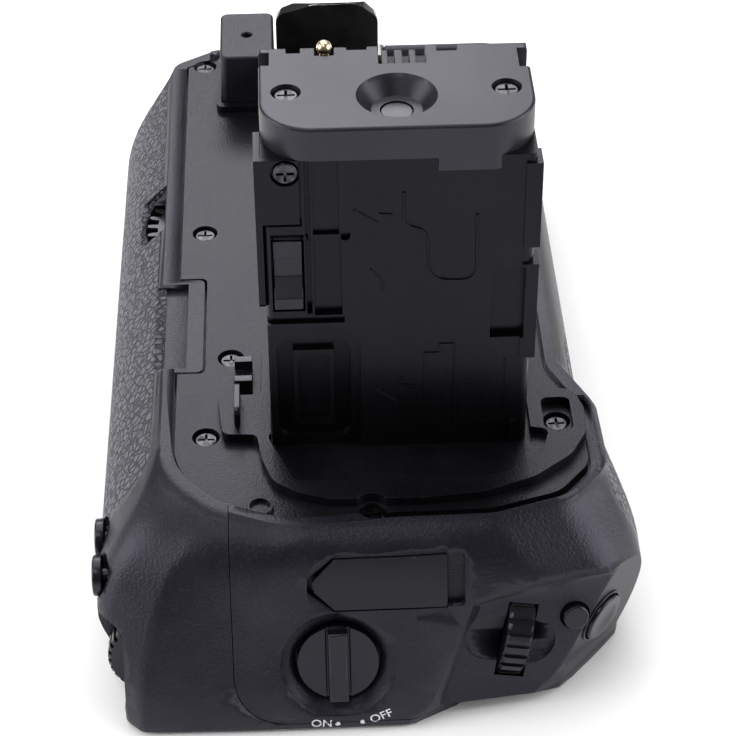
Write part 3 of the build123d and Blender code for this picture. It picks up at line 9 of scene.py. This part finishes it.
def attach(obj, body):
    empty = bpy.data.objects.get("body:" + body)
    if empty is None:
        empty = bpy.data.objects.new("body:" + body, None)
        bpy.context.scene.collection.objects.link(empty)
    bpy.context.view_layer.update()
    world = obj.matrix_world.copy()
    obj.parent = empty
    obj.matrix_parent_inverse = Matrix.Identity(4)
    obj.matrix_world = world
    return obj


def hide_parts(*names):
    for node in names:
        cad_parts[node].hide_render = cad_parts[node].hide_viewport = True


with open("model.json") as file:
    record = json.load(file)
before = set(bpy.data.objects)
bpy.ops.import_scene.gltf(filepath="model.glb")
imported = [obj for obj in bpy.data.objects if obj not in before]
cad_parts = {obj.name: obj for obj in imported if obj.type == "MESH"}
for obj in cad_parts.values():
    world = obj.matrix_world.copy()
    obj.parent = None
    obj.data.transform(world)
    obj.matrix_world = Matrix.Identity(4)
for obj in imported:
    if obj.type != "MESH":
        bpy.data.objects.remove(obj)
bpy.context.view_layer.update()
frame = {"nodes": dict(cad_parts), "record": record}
nodes = frame["nodes"]
scene = bpy.context.scene
mm = 0.001


# a shader socket that takes part in plain arithmetic
class Wire:
    def __init__(self, tree, socket):
        self.tree = tree
        self.socket = socket

    def maths(self, operation, *values):
        made = self.tree.nodes.new("ShaderNodeMath")
        made.operation = operation
        for slot, value in zip(made.inputs, values):
            feed(self.tree, slot, value)
        return Wire(self.tree, made.outputs[0])

    def __add__(self, other):
        return self.maths("ADD", self, other)

    def __radd__(self, other):
        return self.maths("ADD", other, self)

    def __sub__(self, other):
        return self.maths("SUBTRACT", self, other)

    def __rsub__(self, other):
        return self.maths("SUBTRACT", other, self)

    def __mul__(self, other):
        return self.maths("MULTIPLY", self, other)

    def __rmul__(self, other):
        return self.maths("MULTIPLY", other, self)

    def smooth(self, low, high, outLow=0.0, outHigh=1.0):
        made = self.tree.nodes.new("ShaderNodeMapRange")
        made.interpolation_type = "SMOOTHSTEP"
        for slot, value in zip(made.inputs, (self, low, high, outLow, outHigh)):
            feed(self.tree, slot, value)
        return Wire(self.tree, made.outputs[0])


def feed(tree, slot, value):
    if isinstance(value, Wire):
        tree.links.new(value.socket, slot)
    else:
        slot.default_value = value


def addNode(tree, kind, settings=None, output=0, **inputs):
    made = tree.nodes.new(kind)
    for name, value in (settings or {}).items():
        setattr(made, name, value)
    for name, value in inputs.items():
        feed(tree, made.inputs[name.replace("_", " ")], value)
    return Wire(tree, made.outputs[output])


def newMaterial(name, roughness, metallic=0.0, coat=0.0, coatRoughness=0.2, specular=0.5):
    material = bpy.data.materials.new(name)
    material.use_nodes = True
    tree = material.node_tree
    shader = tree.nodes["Principled BSDF"]
    shader.inputs["Roughness"].default_value = roughness
    shader.inputs["Metallic"].default_value = metallic
    shader.inputs["Coat Weight"].default_value = coat
    shader.inputs["Coat Roughness"].default_value = coatRoughness
    shader.inputs["Specular IOR Level"].default_value = specular
    return material, tree, shader


# the cool sheen that the black plastic and the rubber share
coolSheen = (0.84, 0.82, 1.0, 1.0)


def objectPlace(tree):
    return addNode(tree, "ShaderNodeTexCoord", output=3)


def mixColours(tree, factor, first, second):
    made = tree.nodes.new("ShaderNodeMix")
    made.data_type = "RGBA"
    feed(tree, made.inputs[0], factor)
    feed(tree, made.inputs[6], first)
    feed(tree, made.inputs[7], second)
    return Wire(tree, made.outputs[2])


# moulded plastic: a fine spark texture, slow colour drift and a few lighter specks, the specks a painted
# sparkle standing in for glints
def mouldedPlastic(name, look):
    material, tree, shader = newMaterial(name, look["roughness"], specular=look["specular"])
    shader.inputs["Specular Tint"].default_value = coolSheen
    place = objectPlace(tree)
    grain = addNode(tree, "ShaderNodeTexNoise", Vector=place, Scale=look["grainScale"], Detail=3.0,
                    Roughness=0.6)
    drift = addNode(tree, "ShaderNodeTexNoise", Vector=place, Scale=55.0, Detail=4.0, Roughness=0.55)
    specks = addNode(tree, "ShaderNodeTexNoise", Vector=place, Scale=look["grainScale"] * 0.9, Detail=2.0)
    # the specks lighten the colour in fine dots: painted sparkle standing in for glints off the grain
    tone = drift.smooth(0.35, 0.7) * 0.6 + specks.smooth(0.58, 0.72) * look["specks"]
    colour = mixColours(tree, tone, look["dark"], look["light"])
    feed(tree, shader.inputs["Base Color"], colour)
    rough = look["roughness"] + (drift - 0.5) * 0.10 + (grain - 0.5) * 0.08
    feed(tree, shader.inputs["Roughness"], rough)
    bump = addNode(tree, "ShaderNodeBump", Height=grain * 0.8 + specks * 0.4, Strength=look["bump"],
                   Distance=look["depth"])
    feed(tree, shader.inputs["Normal"], bump)
    return material


# leather-like rubber: irregular pebbles, with a painted highlight on their tops and painted shade in the
# creases between them
def pebbledRubber(name, look):
    material, tree, shader = newMaterial(name, look["roughness"], specular=0.5)
    shader.inputs["Specular Tint"].default_value = coolSheen
    place = objectPlace(tree)
    warp = addNode(tree, "ShaderNodeTexNoise", output=1, Vector=place, Scale=look["pebbleScale"] * 0.7,
                   Detail=2.0)
    mixed = tree.nodes.new("ShaderNodeMix")
    mixed.data_type = "VECTOR"
    feed(tree, mixed.inputs[0], look["warp"])
    feed(tree, mixed.inputs[4], place)
    feed(tree, mixed.inputs[5], warp)
    bent = Wire(tree, mixed.outputs[1])
    edges = addNode(tree, "ShaderNodeTexVoronoi", {"feature": "DISTANCE_TO_EDGE"}, Vector=bent,
                    Scale=look["pebbleScale"], Randomness=1.0)
    small = addNode(tree, "ShaderNodeTexVoronoi", {"feature": "DISTANCE_TO_EDGE"}, Vector=bent,
                    Scale=look["pebbleScale"] * 2.3, Randomness=1.0)
    fine = addNode(tree, "ShaderNodeTexNoise", Vector=place, Scale=6000.0, Detail=2.0)
    tops = edges.smooth(0.0, 0.22)
    height = tops * 1.0 + small.smooth(0.0, 0.3) * 0.35 + fine * 0.12
    # the colour paints a highlight on the pebble tops and shade in the creases between them
    colour = mixColours(tree, tops * 0.85 + fine * 0.15, look["dark"], look["light"])
    feed(tree, shader.inputs["Base Color"], colour)
    feed(tree, shader.inputs["Roughness"], look["roughness"] + 0.15 - tops * 0.16)
    bump = addNode(tree, "ShaderNodeBump", Height=height, Strength=look["bump"], Distance=look["depth"])
    feed(tree, shader.inputs["Normal"], bump)
    return material


def brushedMetal(name, look):
    material, tree, shader = newMaterial(name, look["roughness"], metallic=1.0)
    place = objectPlace(tree)
    wear = addNode(tree, "ShaderNodeTexNoise", Vector=place, Scale=900.0, Detail=4.0)
    fine = addNode(tree, "ShaderNodeTexNoise", Vector=place, Scale=5000.0, Detail=2.0)
    colour = mixColours(tree, wear.smooth(0.3, 0.7), look["dark"], look["light"])
    feed(tree, shader.inputs["Base Color"], colour)
    feed(tree, shader.inputs["Roughness"], look["roughness"] + (wear - 0.5) * 0.25)
    bump = addNode(tree, "ShaderNodeBump", Height=fine, Strength=0.2, Distance=0.00002)
    feed(tree, shader.inputs["Normal"], bump)
    return material


def flatPaint(name, colour, roughness):
    material, tree, shader = newMaterial(name, roughness)
    place = objectPlace(tree)
    fleck = addNode(tree, "ShaderNodeTexNoise", Vector=place, Scale=4000.0, Detail=3.0)
    darker = [c * 0.8 for c in colour[:3]] + [1.0]
    feed(tree, shader.inputs["Base Color"], mixColours(tree, fleck.smooth(0.4, 0.75), colour, darker))
    bump = addNode(tree, "ShaderNodeBump", Height=fleck, Strength=0.2, Distance=0.00002)
    feed(tree, shader.inputs["Normal"], bump)
    return material


# the blue share paints the cool tint of the light into the colour: a painted cool sheen, like coolSheen
def grey(value, blue=1.08):
    return (value, value, value * blue, 1.0)


finishes = {
    "shell": mouldedPlastic("shellPlastic", {
        "dark": grey(0.0058, 1.45), "light": grey(0.021, 1.4), "roughness": 0.38, "specular": 0.34,
        "grainScale": 2400.0, "specks": 0.6, "bump": 0.8, "depth": 0.00010}),
    "plate": mouldedPlastic("platePlastic", {
        "dark": grey(0.0030, 1.25), "light": grey(0.009, 1.3), "roughness": 0.33, "specular": 0.24,
        "grainScale": 2600.0, "specks": 0.5, "bump": 0.7, "depth": 0.00009}),
    "tower": mouldedPlastic("towerPlastic", {
        "dark": grey(0.0024, 1.2), "light": grey(0.0052, 1.25), "roughness": 0.29, "specular": 0.20,
        "grainScale": 4600.0, "specks": 0.15, "bump": 0.3, "depth": 0.00004}),
    "cap": mouldedPlastic("capPlastic", {
        "dark": grey(0.009, 1.2), "light": grey(0.017, 1.2), "roughness": 0.40, "specular": 0.45,
        "grainScale": 4200.0, "specks": 0.15, "bump": 0.3, "depth": 0.00004}),
    "satin": mouldedPlastic("satinPlastic", {
        "dark": grey(0.0045, 1.15), "light": grey(0.010, 1.2), "roughness": 0.30, "specular": 0.42,
        "grainScale": 5200.0, "specks": 0.1, "bump": 0.18, "depth": 0.00003}),
    "rubber": pebbledRubber("pebbledRubber", {
        "dark": grey(0.006, 1.2), "light": grey(0.085, 1.18), "roughness": 0.38, "pebbleScale": 760.0,
        "warp": 0.0004, "bump": 1.0, "depth": 0.00040}),
    "pad": pebbledRubber("padRubber", {
        "dark": grey(0.008), "light": grey(0.020), "roughness": 0.6, "pebbleScale": 1500.0, "warp": 0.0003,
        "bump": 0.4, "depth": 0.00012}),
    "flap": mouldedPlastic("flapRubber", {
        "dark": grey(0.010, 1.2), "light": grey(0.016, 1.2), "roughness": 0.52, "specular": 0.36,
        "grainScale": 4200.0, "specks": 0.1, "bump": 0.3, "depth": 0.00005}),
    "screw": brushedMetal("blackScrew", {"dark": grey(0.018), "light": grey(0.085), "roughness": 0.30}),
    "steel": brushedMetal("satinSteel", {"dark": grey(0.42), "light": grey(0.60), "roughness": 0.30}),
    "gold": brushedMetal("goldPlate", {"dark": (0.82, 0.60, 0.32, 1), "light": (1.0, 0.86, 0.60, 1),
                                       "roughness": 0.25}),
    "painted": mouldedPlastic("paintedPlate", {
        "dark": grey(0.010), "light": grey(0.020), "roughness": 0.42, "specular": 0.5, "grainScale": 3000.0,
        "specks": 0.3, "bump": 0.4, "depth": 0.00006}),
    "print": flatPaint("whitePrint", (0.80, 0.80, 0.82, 1.0), 0.5),
    "board": flatPaint("boardGreen", (0.03, 0.13, 0.07, 1.0), 0.35),
    "pack": mouldedPlastic("packPlastic", {
        "dark": grey(0.030), "light": grey(0.045), "roughness": 0.5, "specular": 0.5, "grainScale": 3000.0,
        "specks": 0.2, "bump": 0.3, "depth": 0.00005}),
}
gloss, glossTree, glossShader = newMaterial("glossBlack", 0.10, coat=0.6, coatRoughness=0.08)
glossPlace = objectPlace(glossTree)
glossDrift = addNode(glossTree, "ShaderNodeTexNoise", Vector=glossPlace, Scale=300.0, Detail=3.0)
feed(glossTree, glossShader.inputs["Base Color"],
     mixColours(glossTree, glossDrift.smooth(0.3, 0.7), grey(0.008), grey(0.014)))
feed(glossTree, glossShader.inputs["Roughness"], 0.10 + glossDrift * 0.06)
finishes["gloss"] = gloss
print("materials ready")


bodyOf = {}
for bodyName, names in frame["record"]["behaviour"]["bodies"].items():
    for nodeName in names:
        bodyOf[nodeName] = bodyName


def addPiece(name, mesh, body, finish):
    piece = bpy.data.objects.new(name, mesh)
    scene.collection.objects.link(piece)
    if not mesh.materials:
        mesh.materials.append(finishes[finish])
    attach(piece, body)
    return piece


# how a CAD surface is welded, flattened, creased and softened: a length in metres, angles in degrees
dressing = {"weld": 0.000002, "flatAngle": 0.4, "creaseAngle": 40.0, "bevelAngle": 35.0, "bevelSteps": 2,
            "normalWeight": 90}


# a CAD node's own surface, welded and shaded smoothly, with softened edges where a width is given
def smoothCopy(nodeName, finish, name, softness):
    shape = bmesh.new()
    shape.from_mesh(nodes[nodeName].data)
    bmesh.ops.remove_doubles(shape, verts=shape.verts, dist=dressing["weld"])
    flatAngle = math.radians(dressing["flatAngle"])
    bmesh.ops.dissolve_limit(shape, angle_limit=flatAngle, verts=shape.verts, edges=shape.edges)
    mesh = bpy.data.meshes.new(name)
    shape.to_mesh(mesh)
    shape.free()
    mesh.polygons.foreach_set("use_smooth", [True] * len(mesh.polygons))
    mesh.set_sharp_from_angle(angle=math.radians(dressing["creaseAngle"]))
    piece = addPiece(name, mesh, bodyOf[nodeName], finish)
    if softness:
        edge = piece.modifiers.new("softEdges", "BEVEL")
        edge.width = softness * mm
        edge.segments = dressing["bevelSteps"]
        edge.limit_method = "ANGLE"
        edge.angle_limit = math.radians(dressing["bevelAngle"])
        edge.use_clamp_overlap = True
    even = piece.modifiers.new("evenNormals", "WEIGHTED_NORMAL")
    even.keep_sharp = not softness
    even.weight = dressing["normalWeight"]
    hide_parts(nodeName)


nodeFinishes = {
    "front_shell": "shell", "rear_shell": "shell", "top_plate": "plate", "tower_skirt": "plate",
    "tower_near_shell": "tower", "tower_far_shell": "tower", "tower_cap": "cap", "cap_pin": "satin",
    "contact_holder": "tower", "contact_pin": "gold", "tower_strip": "tower", "strip_screw": "screw",
    "cap_screws": "screw", "plate_screws": "screw", "skirt_screws": "screw", "base_screws": "screw",
    "base_plate": "painted", "base_pads": "pad", "tripod_socket": "steel", "drive_bracket": "satin",
    "locating_post": "shell", "post_collar": "plate", "guide_boss": "gloss", "alignment_pin": "steel",
    "cover_clip": "satin", "cover_blade": "satin", "rear_rubber": "rubber", "front_rubber": "rubber",
    "shutter_bezel": "satin", "main_dial_axle": "steel", "rear_dial_axle": "steel", "power_switch": "satin",
    "control_board": "board", "main_board": "board", "tower_cable": "board", "bay_contact_block": "tower",
    "bay_contacts": "gold", "button_springs": "steel", "battery_tray": "plate", "battery_pack_1": "pack",
    "battery_pack_2": "pack", "tray_contacts": "gold", "tray_lock_knob": "satin", "tray_lock_cam": "satin",
    "power_knob": "satin", "main_dial": "satin", "rear_dial": "satin", "shutter_button": "satin",
    "fn_button": "satin", "rear_button_1": "satin", "rear_button_2": "satin", "seat_pad": "plate",
    "tower_lever": "satin", "attachment_wheel": "satin", "attachment_screw": "steel",
    "port_cover": "flap"}
for nodeName, node in nodes.items():
    node.data.materials.clear()
    node.data.materials.append(finishes[nodeFinishes[nodeName]])

# the dressed pieces, each with its name and how far its edges are softened in millimetres
smoothNodes = {
    "front_shell": ("frontShellSkin", 0), "rear_shell": ("rearShellSkin", 0),
    "rear_rubber": ("thumbRubber", 0), "front_rubber": ("gripRubber", 0),
    "tower_cap": ("towerCapSkin", 0.14), "port_cover": ("portFlap", 0.10),
    "tower_near_shell": ("towerNearSkin", 0.16), "tower_far_shell": ("towerFarSkin", 0.12),
    "tower_strip": ("towerStripSkin", 0.14), "tower_lever": ("latchLever", 0.22),
    "tower_skirt": ("skirtSkin", 0.20), "top_plate": ("plateSkin", 0.08),
    "locating_post": ("postSkin", 0.25), "post_collar": ("collarSkin", 0.15),
    "cover_clip": ("clipSkin", 0.10), "cover_blade": ("bladeSkin", 0.10),
    "power_knob": ("knobSkin", 0.16), "guide_boss": ("bossSkin", 0.3),
    "contact_holder": ("holderSkin", 0.06), "seat_pad": ("seatSkin", 0.08),
    "battery_tray": ("traySkin", 0.15), "tray_lock_knob": ("lockSkin", 0.15),
    "cap_pin": ("capPinSkin", 0.10), "main_dial": ("frontDialSkin", 0.08),
    "rear_dial": ("thumbDialSkin", 0.08), "fn_button": ("fnSkin", 0.12),
    "shutter_button": ("shutterSkin", 0.10), "shutter_bezel": ("bezelSkin", 0.08),
    "rear_button_1": ("innerButtonSkin", 0.12), "rear_button_2": ("outerButtonSkin", 0.12),
    "attachment_wheel": ("wheelSkin", 0.06)}
for nodeName, (pieceName, softness) in smoothNodes.items():
    smoothCopy(nodeName, nodeFinishes[nodeName], pieceName, softness)
print("CAD surfaces dressed")


# a node's surface, to drop points on to
def surfaceTree(nodeName):
    shape = bmesh.new()
    shape.from_mesh(nodes[nodeName].data)
    tree = BVHTree.FromBMesh(shape)
    shape.free()
    return tree


shellSurfaces = [surfaceTree("front_shell"), surfaceTree("rear_shell")]
nearSurface = surfaceTree("tower_near_shell")

# the near end's sloping face: a point on it and how far it leans back in degrees
endFace = {"x": -78.3 * mm, "z": 11.0 * mm, "tilt": 16.5}
faceTilt = math.radians(endFace["tilt"])
faceOut = Vector((-math.cos(faceTilt), 0, math.sin(faceTilt)))
faceUp = Vector((math.sin(faceTilt), 0, math.cos(faceTilt)))
faceSide = Vector((0, -1, 0))


def onEndFace(across, up, out=0.0):
    return Vector((endFace["x"], 0, endFace["z"])) + faceSide * across + faceUp * up + faceOut * out


# how printed shapes are made: letter size for its height, spacing, boldness, longest edge and the drop
printing = {"sizeForHeight": 1.38, "spacing": 1.02, "bold": 0.02 * mm, "longestEdge": 0.6 * mm,
            "startOut": 8 * mm, "reach": 20 * mm, "lift": 0.03 * mm, "dotSides": 24}


# printed words and dots lie on the shell, each point dropped on to its surface
def printWord(name, word, across, up, turn, height):
    text = bpy.data.curves.new(name, "FONT")
    text.body = word
    text.size = height * printing["sizeForHeight"]
    text.align_x = "CENTER"
    text.align_y = "CENTER"
    text.space_character = printing["spacing"]
    text.offset = printing["bold"]
    carrier = bpy.data.objects.new(name + "Text", text)
    scene.collection.objects.link(carrier)
    bpy.context.view_layer.update()
    mesh = bpy.data.meshes.new_from_object(carrier.evaluated_get(bpy.context.evaluated_depsgraph_get()))
    bpy.data.objects.remove(carrier)
    shape = bmesh.new()
    shape.from_mesh(mesh)
    bmesh.ops.triangulate(shape, faces=shape.faces)
    longEdges = [e for e in shape.edges if e.calc_length() > printing["longestEdge"]]
    bmesh.ops.subdivide_edges(shape, edges=longEdges, cuts=2)
    layOnFace(shape, across, up, turn)
    shape.to_mesh(mesh)
    shape.free()
    addPiece(name, mesh, "grip", "print")


def layOnFace(shape, across, up, turn):
    spin = Matrix.Rotation(math.radians(turn), 3, "Z")
    for vert in shape.verts:
        flat = spin @ vert.co
        start = onEndFace(across + flat.x, up + flat.y, printing["startOut"])
        hits = [surface.ray_cast(start, -faceOut, printing["reach"])[0] for surface in shellSurfaces]
        hits = [hit for hit in hits if hit is not None]
        fallback = start - faceOut * printing["startOut"]
        point = max(hits, key=lambda hit: hit.dot(faceOut)) if hits else fallback
        vert.co = point + faceOut * printing["lift"]


def printDot(name, across, up, radius):
    shape = bmesh.new()
    bmesh.ops.create_circle(shape, cap_ends=True, segments=printing["dotSides"], radius=radius)
    layOnFace(shape, across, up, 0.0)
    mesh = bpy.data.meshes.new(name)
    shape.to_mesh(mesh)
    shape.free()
    addPiece(name, mesh, "grip", "print")


# places across and up the end face in millimetres, and turns in degrees
letterHeight, dotRadius = 1.45 * mm, 0.40 * mm
printedWords = {"wordOn": ("ON", 4.2, -9.8, -4.0), "wordOff": ("OFF", 13.1, -8.75, 24.0)}
printedDots = {"dotOn": (6.58, -9.9), "dotOff": (10.33, -9.7)}
for name, (word, across, rise, turn) in printedWords.items():
    printWord(name, word, across * mm, rise * mm, turn, letterHeight)
for name, (across, rise) in printedDots.items():
    printDot(name, across * mm, rise * mm, dotRadius)
print("printing done")


# raised outlines moulded on the tower's near face, in millimetres across and up
mouldingShift = -16.5
rayStart, rayReach, nearFace = -70 * mm, 50 * mm, -52.0 * mm
ridgeProfile = [(-0.5, -0.05), (-0.30, 1.0), (0.30, 1.0), (0.5, -0.05)]
cornerSteps = 4
cornerShare = 0.45
towerMouldings = {
    "mouldedHook": {"width": 0.46, "rise": 0.24, "round": 2.6, "points": [
        (-1.3, 76.9), (-1.3, 71.2), (-4.6, 70.3), (-5.0, 61.6), (-11.8, 61.2), (-11.6, 72.8)]},
    "mouldedCorner": {"width": 0.40, "rise": 0.20, "round": 0.5, "points": [
        (3.4, 63.7), (1.7, 61.5), (1.7, 59.7)]},
    "mouldedSlash": {"width": 0.40, "rise": 0.20, "round": 0.1, "points": [(5.7, 74.1), (2.4, 71.8)]},
    "mouldedDash": {"width": 0.40, "rise": 0.20, "round": 0.1, "points": [(2.2, 73.3), (0.3, 73.1)]},
    "mouldedLine": {"width": 0.34, "rise": 0.18, "round": 0.2, "points": [(-16.6, 37.4), (-16.3, 46.6)]},
    "mouldedArrow": {"width": 0.30, "rise": 0.20, "round": 0.1, "closed": True, "points": [
        (2.7, 41.4), (-1.0, 43.8), (-0.9, 42.3), (-3.3, 42.2), (-3.3, 40.7), (-1.1, 40.4), (-1.2, 38.3)]},
    "mouldedSteps": {"width": 0.30, "rise": 0.20, "round": 0.1, "points": [
        (-4.5, 36.2), (-4.4, 48.2), (-6.6, 48.2), (-6.6, 49.8), (-8.8, 49.8), (-9.0, 34.2)]},
    "mouldedFootOne": {"width": 0.34, "rise": 0.22, "round": 0.1, "points": [(-5.0, 34.7), (-6.6, 34.7)]},
    "mouldedFootTwo": {"width": 0.34, "rise": 0.22, "round": 0.1, "points": [(-6.9, 33.1), (-9.1, 33.0)]},
    "mouldedFootThree": {"width": 0.34, "rise": 0.22, "round": 0.1, "points": [(-12.6, 34.7), (-14.4, 34.6)]},
}


def roundedPath(points, radius, closed):
    path = []
    count = len(points)
    for index, point in enumerate(points):
        here = Vector(point)
        if not closed and index in (0, count - 1):
            path.append(here)
            continue
        before, after = Vector(points[index - 1]), Vector(points[(index + 1) % count])
        toBefore, toAfter = before - here, after - here
        reach = min(radius, toBefore.length * cornerShare, toAfter.length * cornerShare)
        start, end = here + toBefore.normalized() * reach, here + toAfter.normalized() * reach
        for step in range(cornerSteps + 1):
            share = step / cornerSteps
            path.append(start * (1 - share) ** 2 + here * 2 * share * (1 - share) + end * share ** 2)
    return path


# a low ridge with sloping sides, laid on the tower's near face
def mouldedRidge(name, look):
    closed = look.get("closed", False)
    path = roundedPath(look["points"], look["round"], closed)
    count = len(path)
    shape = bmesh.new()
    rings = []
    for index, here in enumerate(path):
        before = path[index - 1] if closed or index else here
        after = path[(index + 1) % count] if closed or index < count - 1 else here
        along = (after - before).normalized()
        side = Vector((-along.y, along.x))
        ring = []
        for across, rise in ridgeProfile:
            spot = here + side * across * look["width"]
            start = Vector((rayStart, (spot.x + mouldingShift) * mm, spot.y * mm))
            hit = nearSurface.ray_cast(start, Vector((1, 0, 0)), rayReach)[0]
            base = hit.x if hit is not None else nearFace
            ring.append(shape.verts.new((base - look["rise"] * mm * rise, start.y, start.z)))
        rings.append(ring)
    pairs = zip(rings, rings[1:] + rings[:1]) if closed else zip(rings, rings[1:])
    for first, second in pairs:
        for k in range(len(ridgeProfile) - 1):
            shape.faces.new((first[k], first[k + 1], second[k + 1], second[k]))
    bmesh.ops.recalc_face_normals(shape, faces=shape.faces)
    mesh = bpy.data.meshes.new(name)
    shape.to_mesh(mesh)
    shape.free()
    addPiece(name, mesh, "grip", "tower")


for name, look in towerMouldings.items():
    mouldedRidge(name, look)
print("tower mouldings laid")

# studio: pale floor, one big soft light above and behind, softer ones at the sides
floorSize, worldStrength = 6.0, 0.12
floorShape = bmesh.new()
bmesh.ops.create_grid(floorShape, x_segments=2, y_segments=2, size=floorSize / 2)
floorMesh = bpy.data.meshes.new("paleFloor")
floorShape.to_mesh(floorMesh)
floorShape.free()
floor = bpy.data.objects.new("paleFloor", floorMesh)
scene.collection.objects.link(floor)
floorMaterial, floorTree, floorShader = newMaterial("floorPaper", 0.9, specular=0.2)
floorShader.inputs["Base Color"].default_value = (0.97, 0.97, 0.97, 1.0)
floorMesh.materials.append(floorMaterial)


def softLight(name, place, target, size, power):
    lamp = bpy.data.lights.new(name, "AREA")
    lamp.shape = "RECTANGLE"
    lamp.size, lamp.size_y = size
    lamp.energy = power
    holder = bpy.data.objects.new(name, lamp)
    holder.location = place
    holder.rotation_mode = "QUATERNION"
    holder.rotation_quaternion = (Vector(target) - Vector(place)).to_track_quat("-Z", "Y")
    scene.collection.objects.link(holder)


# each light's place, the point it faces and its size in metres, and its power in watts
lights = {
    "overhead": ((0.34, 0.0, 0.72), (-0.02, 0, 0.03), (0.9, 0.9), 6.4),
    "leftPanel": ((-0.10, 0.75, 0.35), (-0.02, 0, 0.03), (0.7, 0.5), 5.6),
    "rightPanel": ((-0.15, -0.75, 0.30), (-0.04, 0, 0.02), (0.7, 0.5), 5.4),
    "keyStrip": ((-0.30, 0.12, 0.62), (-0.04, 0, 0.03), (0.30, 0.06), 0.7),
    "farPanel": ((0.85, 0.10, 0.62), (-0.02, 0, 0.03), (0.5, 0.25), 2.5)}
for name, (place, target, size, power) in lights.items():
    softLight(name, place, target, size, power)

world = bpy.data.worlds.new("studioWorld")
scene.world = world
world.use_nodes = True
world.node_tree.nodes["Background"].inputs[0].default_value = (1.0, 1.0, 1.0, 1.0)
world.node_tree.nodes["Background"].inputs[1].default_value = worldStrength

# the camera stands where the photograph was taken, looking down along the grip
sensorWidth, pictureWidth, focalPixels = 36.0, 736, 2300
view = {"place": (-314.8 * mm, -3.4 * mm, 258.9 * mm), "pitch": 39.0, "yaw": -2.0, "roll": -0.5}
pitch, yaw, roll = (math.radians(view[k]) for k in ("pitch", "yaw", "roll"))
ahead = Vector((math.cos(pitch) * math.cos(yaw), math.cos(pitch) * math.sin(yaw), -math.sin(pitch)))
right = ahead.cross(Vector((0, 0, 1))).normalized()
up = right.cross(ahead)
right, up = right * math.cos(roll) + up * math.sin(roll), up * math.cos(roll) - right * math.sin(roll)
cameraData = bpy.data.cameras.new("photoCamera")
cameraData.lens = sensorWidth * focalPixels / pictureWidth
cameraData.sensor_width = sensorWidth
cameraData.clip_start, cameraData.clip_end = 0.01, 20.0
camera = bpy.data.objects.new("photoCamera", cameraData)
camera.matrix_world = Matrix((
    (right.x, up.x, -ahead.x, view["place"][0]),
    (right.y, up.y, -ahead.y, view["place"][1]),
    (right.z, up.z, -ahead.z, view["place"][2]),
    (0, 0, 0, 1)))
scene.collection.objects.link(camera)
scene.camera = camera
scene.view_settings.view_transform = "Standard"
print("stage ready")
